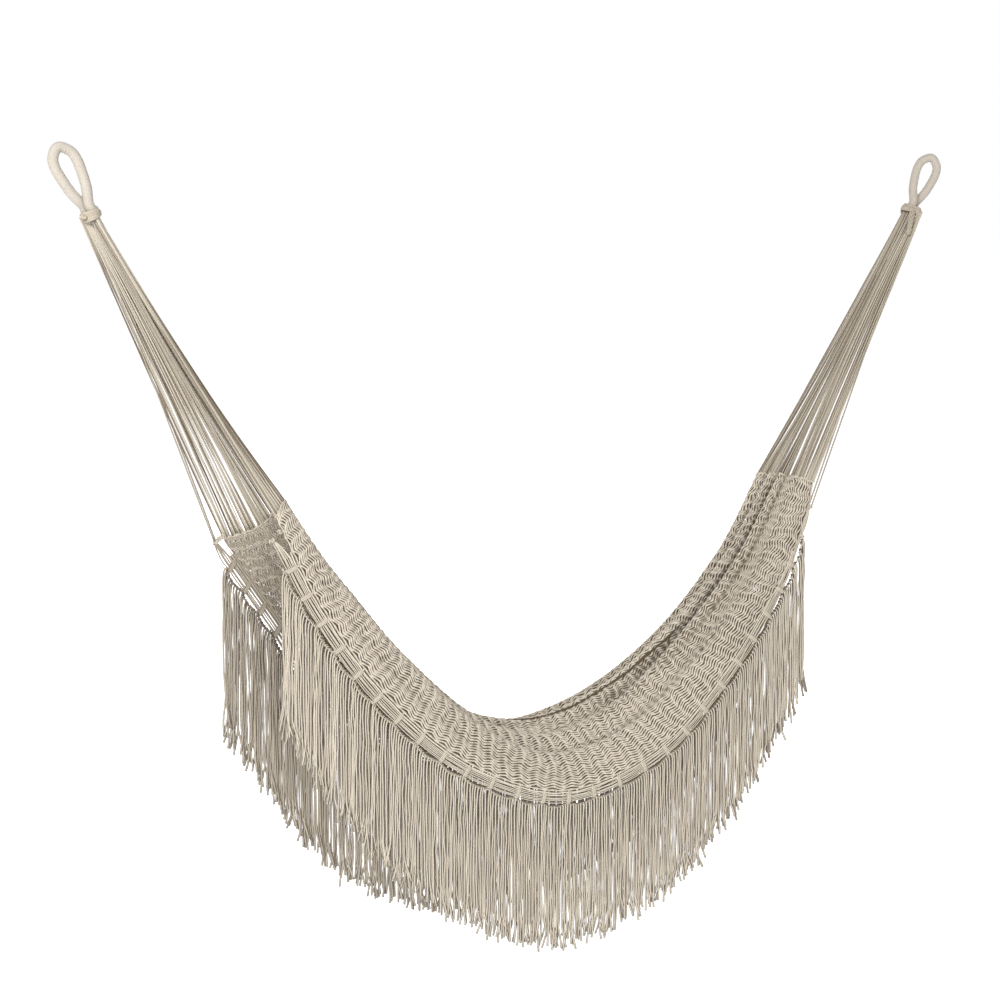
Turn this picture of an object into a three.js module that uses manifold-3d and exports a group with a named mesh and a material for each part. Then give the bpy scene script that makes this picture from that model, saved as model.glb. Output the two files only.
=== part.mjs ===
import * as THREE from 'three';
import Module from 'manifold-3d';

// Fringed cotton hammock, hung by two eye loops and drawn by its own weight.
// Millimetres, +X from the left eye to the right eye, +Y away from the viewer, +Z up.
// The origin is the inner crown of the left eye loop, where its hook bears.

const seatSpan = 2326;              // between the two hook seats
const bedDrop = 1597;               // lowest point of the near border below the hook seats
const neckInset = 63;               // neck, the mouth of the whipping, from its hook seat along X
const neckDrop = 143;               // neck below its hook seat
const eyeRopeRadius = 11.5;         // covered rope of an eye loop
const eyeHalfWidth = 26;            // centre line of the loop, at its widest
const eyeLegSpread = 4.6;           // legs at the neck, in the loop's plane
const eyeLegDepth = 5.6;            // legs at the neck, across the loop's plane
const eyeLegEnd = 17.3;             // legs end this far above the neck's mouth
const leftEyeTurn = THREE.MathUtils.degToRad(15);   // each loop is turned about its own axis
const rightEyeTurn = THREE.MathUtils.degToRad(-30);

const clewRootRadius = 16.8;        // gathered cords inside the whipping's mouth
const clewCordRadius = 2.4;
const clewCordCount = 15;           // cords from the neck to the bed's end row
const leadCordRadius = 2.1;         // outer cords that run to the border knots
const endRowRadius = 3.2;
const fanReach = 70;                // feet this far off the fan's axis leave the root at its side

const whipCordRadius = 2.2;
const whipInnerRadius = clewRootRadius + 2.8;
const whipPitch = 5.1;              // one turn to the next
const whipTurns = 5;
const stepsPerTurn = 12;

const borderCordCount = 6;
const knotRadius = 6;
const borderCordRadius = 1.6;
const borderCordPitch = 3.7;
const borderLowest = 5.2;           // lowest border cord above the border's lower line
const barGap = 0.5;                 // round the cords that a crossbar holds
const barWall = 1.8;
const barLength = 11;
const marginCordRadius = 2.4;       // cord of the net that the crossbars are tied to
const marginGap = 5.1;              // margin cord above the highest border cord
const netGap = 3.4;                 // the net begins above its margin cord
const netThickness = 5;
const barStep = 0.0331;             // along the bed, 0 at its left end row and 1 at its right one
const knotBars = 1.1;               // a border knot lies this many bar steps beyond its last bar
const gatherBars = 0.36;            // and the cords begin to close up this far beyond it
const scallopDip = 7;               // edge cord between two crossbars
const scallopTop = 0.8;             // edge cord at a crossbar
const edgeCordHalf = 2.3;           // square section of the edge cord

const nearFringeLength = 358;
const farFringeLength = 395;
const fringeUneven = 17;
const fringeSplay = 7;              // the outermost tips stand out beyond their knots
const strandRadius = 2.1;
const strandsPerHalf = 75;
const fringeParting = 0.02; // half the gap between the two halves, in bar steps

const borders = [
  { name: 'near', side: -1, barCount: 26, firstBar: 0.0722, knotHeight: 2, fringe: nearFringeLength },
  { name: 'far', side: 1, barCount: 27, firstBar: 0.0415, knotHeight: 14, fringe: farFringeLength },
];

// Lower lines of the two borders at nine stations along the bed: X in seat spans, Z in bed drops.
const nearLine = [
  [0.1707, -0.5066], [0.2193, -0.6644], [0.2872, -0.8128], [0.3775, -0.9349], [0.4893, -1],
  [0.6062, -0.9580], [0.7003, -0.8441], [0.7773, -0.7070], [0.8310, -0.5480],
];
const farLine = [
  [0.1320, -0.5654], [0.1922, -0.7044], [0.2580, -0.8566], [0.3607, -0.9662], [0.4725, -0.9925],
  [0.5911, -0.9555], [0.6900, -0.8616], [0.7571, -0.7138], [0.7979, -0.5467],
];
// Five stations along the bed for what changes slowly.
const halfWidths = [58, 120, 150, 130, 60];
const archHeights = [114, 165, 150, 157, 64];
const foldDepths = [0, 4, 23, 34, 10];
const farRises = [5, -19, 17, 27, 2];     // the far shoulder stands above the near one
const restShift = 6;                      // the bed hangs a little nearer, its weight under the eyes
const rowBow = 19;                        // the left end row bows in at its crown
const foldPlaces = [0.34, 0.475, 0.68];   // lengthwise folds across the arch, 0 near and 1 far
const foldWidth = 0.055;

const marginHeight = borderLowest + (borderCordCount - 1) * borderCordPitch + marginGap;
const netStart = marginHeight + netGap;
const borderHalf = (borderCordCount - 1) / 2 * borderCordPitch;
const borderMiddle = borderLowest + borderHalf;

const cottonGrey = 0xd3cbbd;
const cottonShade = 0xc4bbac;
const cottonPale = 0xe2dacd;

const wasm = await Module();
wasm.setup();
const { Manifold, Mesh } = wasm;

// Value at u of a smooth curve through evenly spaced values (Catmull-Rom).
function through(values, u) {
  const last = values.length - 1;
  const place = THREE.MathUtils.clamp(u, -0.08, 1.08) * last;
  const first = THREE.MathUtils.clamp(Math.floor(place), 0, last - 1);
  const t = place - first;
  const b = values[first];
  const c = values[first + 1];
  const a = first > 0 ? values[first - 1] : 2 * b - c;
  const d = first < last - 1 ? values[first + 2] : 2 * c - b;
  const inSlope = (c - a) / 2;
  const outSlope = (d - b) / 2;
  const bend = 3 * (c - b) - 2 * inSlope - outSlope;
  const twist = 2 * (b - c) + inSlope + outSlope;
  return b + t * (inSlope + t * (bend + t * twist));
}

// Point of a border's lower line; side runs from -1 (near) to 1 (far).
function borderLine(u, side) {
  const [near, far] = [nearLine, farLine].map((line) => new THREE.Vector3(
    seatSpan * through(line.map((p) => p[0]), u),
    0,
    bedDrop * through(line.map((p) => p[1]), u),
  ));
  const point = near.lerp(far, (side + 1) / 2);
  point.y = side * through(halfWidths, u) - restShift * Math.sin(Math.PI * u);
  return point;
}

// Unit vectors along the bed and square to it, in the vertical plane.
function alongAndUp(u, side) {
  const step = 0.004;
  const along = borderLine(u + step, side).sub(borderLine(u - step, side));
  along.y = 0;
  along.normalize();
  const up = new THREE.Vector3(-along.z, 0, along.x);
  return { along, up };
}

// Point above a border's lower line, at a height square to the bed.
function borderPoint(u, side, height) {
  const { up } = alongAndUp(u, side);
  return borderLine(u, side).addScaledVector(up, height);
}

// Point of the net: v runs from 0 at the near border over the arch to 1 at the far one.
function netPoint(u, v) {
  const angle = Math.PI * v;
  const side = -Math.cos(angle);
  const lift = Math.sin(angle);
  const { along, up } = alongAndUp(u, side);
  const dips = foldPlaces.map((place) => Math.exp(-(((v - place) / foldWidth) ** 2)));
  const fold = through(foldDepths, u) * (dips[0] + dips[1] + dips[2]);
  const arch = netStart + (through(archHeights, u) - netStart) * lift;
  const height = arch + through(farRises, u) * side * lift - fold;
  return borderLine(u, side)
    .addScaledVector(up, height)
    .addScaledVector(along, rowBow * lift * (1 - THREE.MathUtils.smoothstep(u, 0, 0.3)));
}

function geometryFrom(points, faces) {
  const geometry = new THREE.BufferGeometry();
  const values = points.flatMap((p) => [p.x, p.y, p.z]);
  geometry.setAttribute('position', new THREE.Float32BufferAttribute(values, 3));
  geometry.setIndex(faces.flat());
  return geometry;
}

// Closed tube along points: ring by ring, the section's frame carried along without twist.
// radiusAt(i) gives each ring's radius, or two half sizes for a flattened section.
function sweep(path, radiusAt, sides, startUp = new THREE.Vector3(0, 1, 0), turn = 0) {
  const points = [];
  const faces = [];
  const up = startUp.clone();
  path.forEach((point, i) => {
    const before = path[Math.max(i - 1, 0)];
    const after = path[Math.min(i + 1, path.length - 1)];
    const forward = after.clone().sub(before).normalize();
    up.addScaledVector(forward, -up.dot(forward)).normalize();
    const across = new THREE.Vector3().crossVectors(up, forward);
    const size = radiusAt(i);
    const [a, b] = Array.isArray(size) ? size : [size, size];
    for (let s = 0; s < sides; s += 1) {
      const angle = turn + 2 * Math.PI * s / sides;
      points.push(point.clone()
        .addScaledVector(across, a * Math.cos(angle))
        .addScaledVector(up, b * Math.sin(angle)));
    }
  });
  for (let i = 0; i < path.length - 1; i += 1) {
    for (let s = 0; s < sides; s += 1) {
      const a = i * sides + s;
      const b = i * sides + (s + 1) % sides;
      faces.push([a, b, b + sides], [a, b + sides, a + sides]);
    }
  }
  const lastRing = (path.length - 1) * sides;
  for (let s = 1; s < sides - 1; s += 1) {
    faces.push([0, s + 1, s], [lastRing, lastRing + s, lastRing + s + 1]);
  }
  return geometryFrom(points, faces);
}

function toManifold(geometry) {
  const mesh = new Mesh({
    numProp: 3,
    vertProperties: new Float32Array(geometry.attributes.position.array),
    triVerts: new Uint32Array(geometry.index.array),
  });
  mesh.merge();
  return new Manifold(mesh);
}

function fused(geometries) {
  const mesh = Manifold.union(geometries.map(toManifold)).getMesh();
  const geometry = new THREE.BufferGeometry();
  geometry.setAttribute('position', new THREE.BufferAttribute(new Float32Array(mesh.vertProperties), 3));
  geometry.setIndex(new THREE.BufferAttribute(new Uint32Array(mesh.triVerts), 1));
  return geometry;
}

const hammock = new THREE.Group();
hammock.name = 'fringed_hammock';

function addPiece(name, geometry, colour, roughness = 0.92) {
  const material = new THREE.MeshStandardMaterial({ color: colour, roughness, metalness: 0 });
  geometry.computeVertexNormals();
  const mesh = new THREE.Mesh(geometry, material);
  mesh.name = name;
  hammock.add(mesh);
}

const range = (count) => Array.from({ length: count }, (_, i) => i);
const wobble = (i, seed) => 0.6 * Math.sin(i * 12.9898 + seed * 78.233)
  + 0.4 * Math.sin(i * 4.1414 + seed * 19.19);

// One end of the hammock: sign is 1 at the left eye and -1 at the right eye.
const ends = [
  { name: 'left', sign: 1, rowU: 0, turn: leftEyeTurn },
  { name: 'right', sign: -1, rowU: 1, turn: rightEyeTurn },
].map((end) => {
  const middle = seatSpan / 2;
  const neck = new THREE.Vector3(middle - end.sign * (middle - neckInset), 0, -neckDrop);
  const outward = new THREE.Vector3(-end.sign * neckInset, 0, neckDrop).normalize();
  const across = new THREE.Vector3(end.sign * outward.z, 0, -end.sign * outward.x);
  const depth = new THREE.Vector3(0, 1, 0);
  across.applyAxisAngle(outward, end.turn);
  depth.applyAxisAngle(outward, end.turn);
  return { ...end, neck, outward, across, depth };
});

// Point of an end: along its eye loop's axis, across its plane and in depth.
function endPoint(end, axial, wide, depth) {
  return end.neck.clone()
    .addScaledVector(end.outward, axial)
    .addScaledVector(end.across, wide)
    .addScaledVector(end.depth, depth);
}

// Eye loop: a covered rope bent to a teardrop, its legs laid against each other at the neck.
function eyeLoop(end) {
  const seat = Math.hypot(neckInset, neckDrop);
  const straight = 2 * eyeLegEnd;
  // Height over the seat's, half width over the widest, and how far the legs have closed up.
  const profile = [[0.43, 0.66, 0.5], [0.66, 0.93, 0], [0.84, 1, 0], [0.975, 0.76, 0]];
  const leg = [
    [eyeLegEnd, eyeLegSpread, -eyeLegDepth],
    [straight, eyeLegSpread, -eyeLegDepth],
    ...profile.map(([high, wide, close]) => [high * seat, wide * eyeHalfWidth, -close * eyeLegDepth]),
  ];
  const otherLeg = leg.map(([axial, wide, depth]) => [axial, -wide, -depth]).reverse();
  const controls = [...leg, [seat + eyeRopeRadius, 0, 0], ...otherLeg];
  const curve = new THREE.CatmullRomCurve3(controls.map((c) => endPoint(end, ...c)));
  const path = curve.getPoints(22);
  const half = Math.floor(path.length / 2);
  const legs = [path.slice(0, half + 1), path.slice(half - 1)];
  return fused(legs.map((leg) => sweep(leg, () => eyeRopeRadius, 9, end.depth)));
}

// Whipping: one cord wound round the legs, its two ends run straight for a cord's width.
function whippingPath(end) {
  const steps = whipTurns * stepsPerTurn;
  const radius = whipInnerRadius + whipCordRadius;
  const start = whipCordRadius + 0.4;
  const wound = range(steps + 1).map((i) => {
    const angle = 2 * Math.PI * i / stepsPerTurn + 0.6;
    const axial = start + whipPitch * i / stepsPerTurn;
    return endPoint(end, axial, radius * Math.cos(angle), radius * Math.sin(angle));
  });
  const run = (from, to) => to.clone().sub(from).setLength(2 * whipCordRadius).add(to);
  return [run(wound[1], wound[0]), ...wound, run(wound[steps - 1], wound[steps])];
}

function leastSelfGap(path, radius) {
  let least = Infinity;
  path.forEach((a, i) => {
    path.slice(i + Math.floor(stepsPerTurn / 2)).forEach((b) => {
      least = Math.min(least, a.distanceTo(b) - 2 * radius);
    });
  });
  return least;
}

// Clew: cords gathered to a rounded root in the whipping's mouth, and fanned to the bed's end row.
function clew(end) {
  const rowU = end.rowU - end.sign * 0.001;
  const row = range(17).map((i) => netPoint(rowU, i / 16));
  const root = new THREE.SphereGeometry(clewRootRadius, 12, 8);
  root.translate(end.neck.x, end.neck.y, end.neck.z);
  const solids = [rebuilt(root), sweep(row, () => endRowRadius, 4, new THREE.Vector3(0, 0, 1))];
  range(clewCordCount).forEach((i) => {
    const v = 0.03 + 0.94 * i / (clewCordCount - 1);
    const foot = netPoint(rowU, v);
    solids.push(cordBetween(rootPoint(end, foot), foot, clewCordRadius));
  });
  borders.forEach((border) => {
    range(2).forEach((i) => {
      const knot = borderEnd(end, border);
      const away = rootPoint(end, knot).sub(knot).normalize();
      const lead = knot.clone().addScaledVector(away, knotRadius + 0.6);
      lead.y += (i - 0.5) * 5;
      solids.push(cordBetween(rootPoint(end, knot, i - 0.5), lead, leadCordRadius));
    });
  });
  return fused(solids);
}

// Where a clew cord leaves the root: spread a little towards its foot.
function rootPoint(end, foot, shift = 0) {
  const away = foot.clone().sub(end.neck);
  const axis = borderLine(end.rowU, 0).sub(end.neck).normalize();
  const offset = away.clone().addScaledVector(axis, -away.dot(axis));
  const farthest = clewRootRadius - clewCordRadius - 0.6;
  offset.multiplyScalar(farthest / fanReach);
  offset.clampLength(0, farthest);
  offset.y += shift * 2;
  return end.neck.clone().add(offset);
}

function cordBetween(from, to, radius) {
  const up = Math.abs(to.y - from.y) > 0.9 * to.distanceTo(from) ? new THREE.Vector3(1, 0, 0) : undefined;
  return sweep([from, to], () => radius, 4, up);
}

// Sphere geometry with its seam and poles joined.
function rebuilt(geometry) {
  const position = geometry.attributes.position;
  const seen = new Map();
  const points = [];
  const map = range(position.count).map((i) => {
    const p = new THREE.Vector3().fromBufferAttribute(position, i);
    const key = [p.x, p.y, p.z].map((c) => c.toFixed(3)).join();
    if (!seen.has(key)) {
      seen.set(key, points.length);
      points.push(p);
    }
    return seen.get(key);
  });
  const index = Array.from(geometry.index.array).map((i) => map[i]);
  const faces = range(index.length / 3).map((f) => index.slice(3 * f, 3 * f + 3));
  return geometryFrom(points, faces.filter(([a, b, c]) => a !== b && b !== c && c !== a));
}

// Place along the bed of a border's crossbar, the first being 0.
function barPlace(border, bars) {
  return border.firstBar + bars * barStep;
}

// Bar count beyond the left or right end of a border's crossbars.
function beyond(end, border, bars) {
  return end.sign > 0 ? -bars : border.barCount - 1 + bars;
}

// Border ends: the six cords close up to a knot beyond the last crossbar.
function borderEnd(end, border) {
  return borderPoint(barPlace(border, beyond(end, border, knotBars)), border.side, border.knotHeight);
}

function borderGather(end, border) {
  const wideU = barPlace(border, beyond(end, border, gatherBars)) - end.sign * 0.0003;
  const wide = borderPoint(wideU, border.side, borderMiddle);
  const knot = borderEnd(end, border);
  const across = alongAndUp(wideU, border.side).up;
  const halfFan = borderHalf + borderCordRadius;
  const straight = borderPoint(wideU - end.sign * 0.003, border.side, borderMiddle);
  const neck = knot.clone().lerp(wide, 0.3);
  const tip = knot.clone().add(knot.clone().sub(wide).setLength(knotRadius * 0.9));
  const path = [wide, straight, neck, knot, tip];
  const fanned = [borderCordRadius, halfFan];
  const sizes = [fanned, fanned, [3, 5], [knotRadius, knotRadius], [2.4, 2.4]];
  return sweep(path, (i) => sizes[i], 8, across);
}

// Stations of a border's cords: both gathers and each crossbar between them.
function cordStations(border) {
  const bars = range(border.barCount).map((i) => barPlace(border, i));
  const [first, last] = ends.map((end) => barPlace(border, beyond(end, border, gatherBars)));
  return [first, ...bars, last];
}

function borderCord(border, i) {
  const height = borderLowest + i * borderCordPitch;
  const path = cordStations(border).map((u) => borderPoint(u, border.side, height));
  return sweep(path, () => borderCordRadius, 4, new THREE.Vector3(0, 1, 0));
}

// Crossbar: a flat sleeve of wrapped cord round the border cords, tied to the net's margin cord.
function crossbar(u, side) {
  const { up } = alongAndUp(u, side);
  const along = borderLine(u + 0.004, side).sub(borderLine(u - 0.004, side)).normalize();
  const depth = new THREE.Vector3().crossVectors(up, along);
  const centre = borderPoint(u, side, borderMiddle);
  const halfHole = [borderHalf + borderCordRadius + barGap, borderCordRadius + barGap];
  const outline = (grow) => {
    const h = halfHole[0] + grow;
    const d = halfHole[1] + grow;
    return [[h, d], [-h, d], [-h, -d], [h, -d]];
  };
  const ring = (grow, shift) => outline(grow).map(([h, d]) => centre.clone()
    .addScaledVector(up, h).addScaledVector(depth, d).addScaledVector(along, shift));
  const half = barLength / 2;
  const points = [...ring(barWall, -half), ...ring(barWall, half), ...ring(0, -half), ...ring(0, half)];
  const faces = [];
  range(4).forEach((s) => {
    const t = (s + 1) % 4;
    faces.push([s, 4 + t, t], [s, 4 + s, 4 + t]);
    faces.push([8 + s, 8 + t, 12 + t], [8 + s, 12 + t, 12 + s]);
    faces.push([4 + s, 12 + t, 4 + t], [4 + s, 12 + s, 12 + t]);
    faces.push([s, t, 8 + t], [s, 8 + t, 8 + s]);
  });
  return geometryFrom(points, faces);
}

function crossbarRow(border) {
  const path = cordStations(border).map((u) => borderPoint(u, border.side, marginHeight));
  const margin = sweep(path, () => marginCordRadius, 4, new THREE.Vector3(0, 1, 0), Math.PI / 4);
  return fused([margin, ...range(border.barCount).map((i) => crossbar(barPlace(border, i), border.side))]);
}

// Fringe: vertical strands fused to half of the scalloped edge cord, which hangs free past the last bar.
function edgePoint(border, bars) {
  const held = Math.min(bars, border.barCount - 0.5);
  const height = scallopTop - scallopDip * Math.abs(Math.sin(Math.PI * held)) - edgeCordHalf;
  return borderPoint(barPlace(border, bars), border.side, height);
}

function fringe(border, from, to, seed) {
  const steps = Math.round(2 * (to - from));
  const path = range(steps + 1).map((i) => edgePoint(border, THREE.MathUtils.lerp(from, to, i / steps)));
  const cord = sweep(path, () => edgeCordHalf * Math.SQRT2, 4, new THREE.Vector3(0, 1, 0), Math.PI / 4);
  const strands = range(strandsPerHalf).map((i) => {
    const place = (i + 0.5) / strandsPerHalf * steps;
    const first = Math.min(Math.floor(place), steps - 1);
    const top = path[first].clone().lerp(path[first + 1], place - first);
    const outward = 2 * top.x / seatSpan - 1;
    const length = border.fringe + fringeUneven * wobble(i, seed);
    const tip = top.clone().add(new THREE.Vector3(fringeSplay * outward, 0, -length));
    return sweep([top, tip], () => strandRadius, 3, new THREE.Vector3(0, border.side, 0), Math.PI / 2);
  });
  return fused([cord, ...strands]);
}

// Woven bed: a thin closed sheet with the main lengthwise folds.
function wovenBed() {
  const rows = 18;
  const columns = 18;
  const topPoints = [];
  const underPoints = [];
  const at = (u, v) => netPoint(u, v);
  range(rows + 1).forEach((r) => {
    const u = THREE.MathUtils.lerp(0.003, 0.997, r / rows);
    range(columns + 1).forEach((c) => {
      const v = c / columns;
      const small = 0.004;
      const alongU = at(u + small, v).sub(at(u - small, v));
      const low = Math.max(v - small, 0);
      const high = Math.min(v + small, 1);
      const normal = alongU.cross(at(u, high).sub(at(u, low))).normalize();
      const point = at(u, v);
      topPoints.push(point.clone().addScaledVector(normal, netThickness / 2));
      underPoints.push(point.clone().addScaledVector(normal, -netThickness / 2));
    });
  });
  const points = [...topPoints, ...underPoints];
  const under = topPoints.length;
  const id = (r, c) => r * (columns + 1) + c;
  const faces = [];
  range(rows).forEach((r) => range(columns).forEach((c) => {
    const [a, b, d, e] = [id(r, c), id(r, c + 1), id(r + 1, c), id(r + 1, c + 1)];
    faces.push([a, d, e], [a, e, b]);
    faces.push([under + a, under + e, under + d], [under + a, under + b, under + e]);
  }));
  const rim = [
    ...range(columns).map((c) => id(0, c)),
    ...range(rows).map((r) => id(r, columns)),
    ...range(columns).map((c) => id(rows, columns - c)),
    ...range(rows).map((r) => id(rows - r, 0)),
  ];
  rim.forEach((a, i) => {
    const b = rim[(i + 1) % rim.length];
    faces.push([a, b, under + b], [a, under + b, under + a]);
  });
  return geometryFrom(points, faces);
}

ends.forEach((end) => {
  addPiece(`${end.name}_eye_loop`, eyeLoop(end), cottonPale, 0.85);
  const path = whippingPath(end);
  console.log(`${end.name} whipping least gap ${leastSelfGap(path, whipCordRadius).toFixed(2)} mm`);
  addPiece(`${end.name}_whipping`, sweep(path, () => whipCordRadius, 6), cottonGrey);
  addPiece(`${end.name}_clew_cords`, clew(end), cottonGrey);
});

borders.forEach((border) => {
  const { name, side } = border;
  ends.forEach((end) => {
    addPiece(`${name}_${end.name}_border_gather`, borderGather(end, border), cottonGrey);
  });
  range(borderCordCount).forEach((i) => {
    addPiece(`${name}_border_cord_${i + 1}`, borderCord(border, i), cottonGrey);
  });
  addPiece(`${name}_crossbar_row`, crossbarRow(border), cottonGrey);
  const middle = Math.floor(border.barCount / 2);
  const last = border.barCount - 1 + knotBars;
  addPiece(`${name}_fringe_left`, fringe(border, -0.14, middle - fringeParting, side + 3), cottonShade);
  addPiece(`${name}_fringe_right`, fringe(border, middle + fringeParting, last, side + 7), cottonShade);
});

addPiece('woven_bed', wovenBed(), cottonGrey);

export default hammock;
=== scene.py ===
import math
import bpy
import numpy as np
from numpy import arange, array, clip, concatenate, cos, cross, cumsum, diff, exp, interp, linspace, pi, sin, stack
from numpy.linalg import norm
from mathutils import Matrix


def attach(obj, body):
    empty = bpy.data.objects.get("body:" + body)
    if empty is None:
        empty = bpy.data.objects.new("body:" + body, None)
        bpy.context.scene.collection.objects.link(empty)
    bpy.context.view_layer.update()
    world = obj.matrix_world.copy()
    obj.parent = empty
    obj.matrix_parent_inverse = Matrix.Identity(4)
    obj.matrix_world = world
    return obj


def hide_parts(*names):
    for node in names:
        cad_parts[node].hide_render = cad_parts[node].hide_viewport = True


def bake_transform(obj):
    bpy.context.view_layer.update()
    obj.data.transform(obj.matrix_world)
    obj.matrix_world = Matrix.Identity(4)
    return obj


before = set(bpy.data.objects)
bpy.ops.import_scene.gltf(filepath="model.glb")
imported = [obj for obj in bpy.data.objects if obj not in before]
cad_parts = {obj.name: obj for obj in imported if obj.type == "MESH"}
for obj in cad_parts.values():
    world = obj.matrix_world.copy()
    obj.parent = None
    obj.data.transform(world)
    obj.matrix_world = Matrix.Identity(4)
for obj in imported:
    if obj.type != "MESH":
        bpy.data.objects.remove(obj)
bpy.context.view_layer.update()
print("frame loaded")

# Hammock: metres, +X from the left eye to the right eye, +Y away from the viewer, origin in the left eye's crown
hanging = {
    "seatSpan": 2.326,         # between the hook seats
    "bedDrop": 1.597,          # lowest point of the near border under the seats
    "neckInset": 0.063,        # mouth of a whipping from its seat along X
    "neckDrop": 0.143,         # and below it
    "loopTurn": {"left": 15.0, "right": -30.0},   # each loop turned about its own axis, degrees
}
bed = {
    "nearX": (0.1707, 0.2193, 0.2872, 0.3775, 0.4893, 0.6062, 0.7003, 0.7773, 0.8310),    # in seat spans
    "nearZ": (-0.5066, -0.6644, -0.8128, -0.9349, -1, -0.9580, -0.8441, -0.7070, -0.5480),  # in bed drops
    "farX": (0.1320, 0.1922, 0.2580, 0.3607, 0.4725, 0.5911, 0.6900, 0.7571, 0.7979),
    "farZ": (-0.5654, -0.7044, -0.8566, -0.9662, -0.9925, -0.9555, -0.8616, -0.7138, -0.5467),
    "halfWidths": (0.058, 0.120, 0.150, 0.130, 0.060),
    "archHeights": (0.114, 0.165, 0.150, 0.157, 0.064),
    "foldDepths": (0, 0.004, 0.023, 0.034, 0.010),
    "farRises": (0.005, -0.019, 0.017, 0.027, 0.002),
    "restShift": 0.006,
    "rowBow": 0.019,
    "foldPlaces": (0.34, 0.475, 0.68),
    "foldWidth": 0.055,
    "tuck": 0.027, "tucked": (0.80, 0.93),   # the net's near edge is drawn down to the border at the right end
    "tuckWidth": 0.1, "tuckEased": (0.975, 0.35),
    "rowDrop": (0.040, 0.016, 0.002, 0, 0, 0.008, 0.022, 0.026, 0.022, 0.016),   # left end row, further in over v
    "bowEnd": 0.3, "rowDropEnd": 0.14,
    # Creases lengthwise: stations along the bed, their v and depths, width in v, then the darkness of their painted
    # shade, its shift and width
    "creases": [dict(zip(("u", "v", "depth", "width", "dark", "shift", "band"), row)) for row in (
        ((0.45, 0.50, 0.56, 0.66, 0.78, 1), (0.665, 0.66, 0.655, 0.65, 0.645, 0.645),
         (0, 0.012, 0.021, 0.024, 0.020, 0.012), 0.048, 0.85, 0.052, 0.016),
        ((0.55, 0.68, 0.80, 0.90, 1), (0.395, 0.385, 0.375, 0.375, 0.38), (0, 0.010, 0.017, 0.019, 0.017),
         0.024, 0.75, 0.018, 0.014),
        ((0.55, 0.68, 0.80, 1), (0.44, 0.435, 0.428, 0.428), (0, -0.009, -0.013, -0.013), 0.024, 0, 0, 0.02),
        ((0.52, 0.64, 0.80, 1), (0.50, 0.49, 0.485, 0.485), (0, 0.010, 0.012, 0.012), 0.03, 0.85, 0.016, 0.024),
        ((0.60, 0.72, 0.88, 1), (0.60, 0.57, 0.55, 0.54), (0, 0.005, 0.007, 0.007), 0.024, 0.4, 0.006, 0.02),
        ((0.45, 0.60, 0.80, 1), (0.33, 0.29, 0.24, 0.22), (0, 0.008, 0.008, 0.006), 0.03, 0.35, 0, 0.024),
        ((0, 0.10, 0.30, 0.50, 0.62), (0.10, 0.11, 0.12, 0.12, 0.10), (0, 0.008, 0.010, 0.007, 0),
         0.035, 0.35, 0, 0.028),
        ((0.05, 0.2, 0.42), (0.30, 0.34, 0.40), (0, 0.006, 0), 0.03, 0.2, 0, 0.024),
        ((0.30, 0.45, 0.60), (0.50, 0.52, 0.54), (0, 0.010, 0), 0.03, 0.4, 0.01, 0.024),
        ((0.47, 0.53, 0.57, 0.62, 0.66, 0.73), (0.568, 0.566, 0.556, 0.551, 0.541, 0.522),
         (0, 0.004, 0.006, 0.006, 0.005, 0), 0.014, 1.1, 0, 0.010),
    )],
}
border = {
    "cords": 6, "pitch": 0.0037, "lowest": 0.0052, "cordLoss": 0.5, "barLoss": 0.45,   # height lost where drawn
    "barStep": 0.0331, "knotBars": 1.1, "gatherBars": 0.36, "ring": 0.0016,
    "samples": 420, "liningSamples": 300, "marginSamples": 460, "scallopSamples": 616,
    "radii": {"margin": 0.0024, "lining": 0.0015, "deepMore": 0.0004, "slit": 0.0024, "edge": 0.0024, "link": 0.0017,
              "corner": 0.0024, "knot": 0.0026}, "knot": 0.0064, "cornerKnot": 0.0056,
    "bow": 0.0009, "uneven": 0.0013, "wave": 0.0006,            # of a border cord between two bars
    "scallopDip": 0.0062, "scallopTop": 0.0008, "edgeHalf": 0.0023,
    "gathered": (0.85, 0.91), "deeper": 0.9, "lastLess": 1.4,   # near scallops at the right end
    "marginGap": 0.0051, "netGap": 0.0034,
    "near": {"side": -1, "bars": 26, "first": 0.0722, "knotHeight": 0.002, "fringe": 0.358, "drawn": 1,
             "low": 0.0052, "thick": 0.0014, "agedAndShaded": (0, 0.24, 0.78, 0.9), "barLean": 0, "barShade": 0,
             "liningRows": arange(5), "liningBack": 0.0034, "liningDark": (0.95,) * 5,
             "slits": ((0.092, 0.40), (0.575, 0.84)), "corners": ((0.031, 0.027), (0.972, 0.003)), "links": (1,)},
    "far": {"side": 1, "bars": 27, "first": 0.0415, "knotHeight": 0.014, "fringe": 0.395, "drawn": 0,
            "low": 0.0034, "thick": 0.0020, "agedAndShaded": (0.6, 0.1, 0.15, 0.4), "barLean": 0.014, "barShade": 0.55,
            "liningRows": 4 + 0.7 * arange(8), "liningBack": 0.0012, "links": (0, 1),
            "liningDark": (0.4, 0.8, 0.4, 0.8, 0.4, 1, 1, 1), "slits": (), "corners": ((0.004, 0.038), (0.992, 0.034))},
}
marginHeight = border["lowest"] + (border["cords"] - 1) * border["pitch"] + border["marginGap"]
netStart = marginHeight + border["netGap"]
borderMiddle = border["lowest"] + (border["cords"] - 1) / 2 * border["pitch"]


# New object of some data, in the scene
def addObject(name, data):
    thing = bpy.data.objects.new(name, data)
    bpy.context.scene.collection.objects.link(thing)
    return thing


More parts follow.
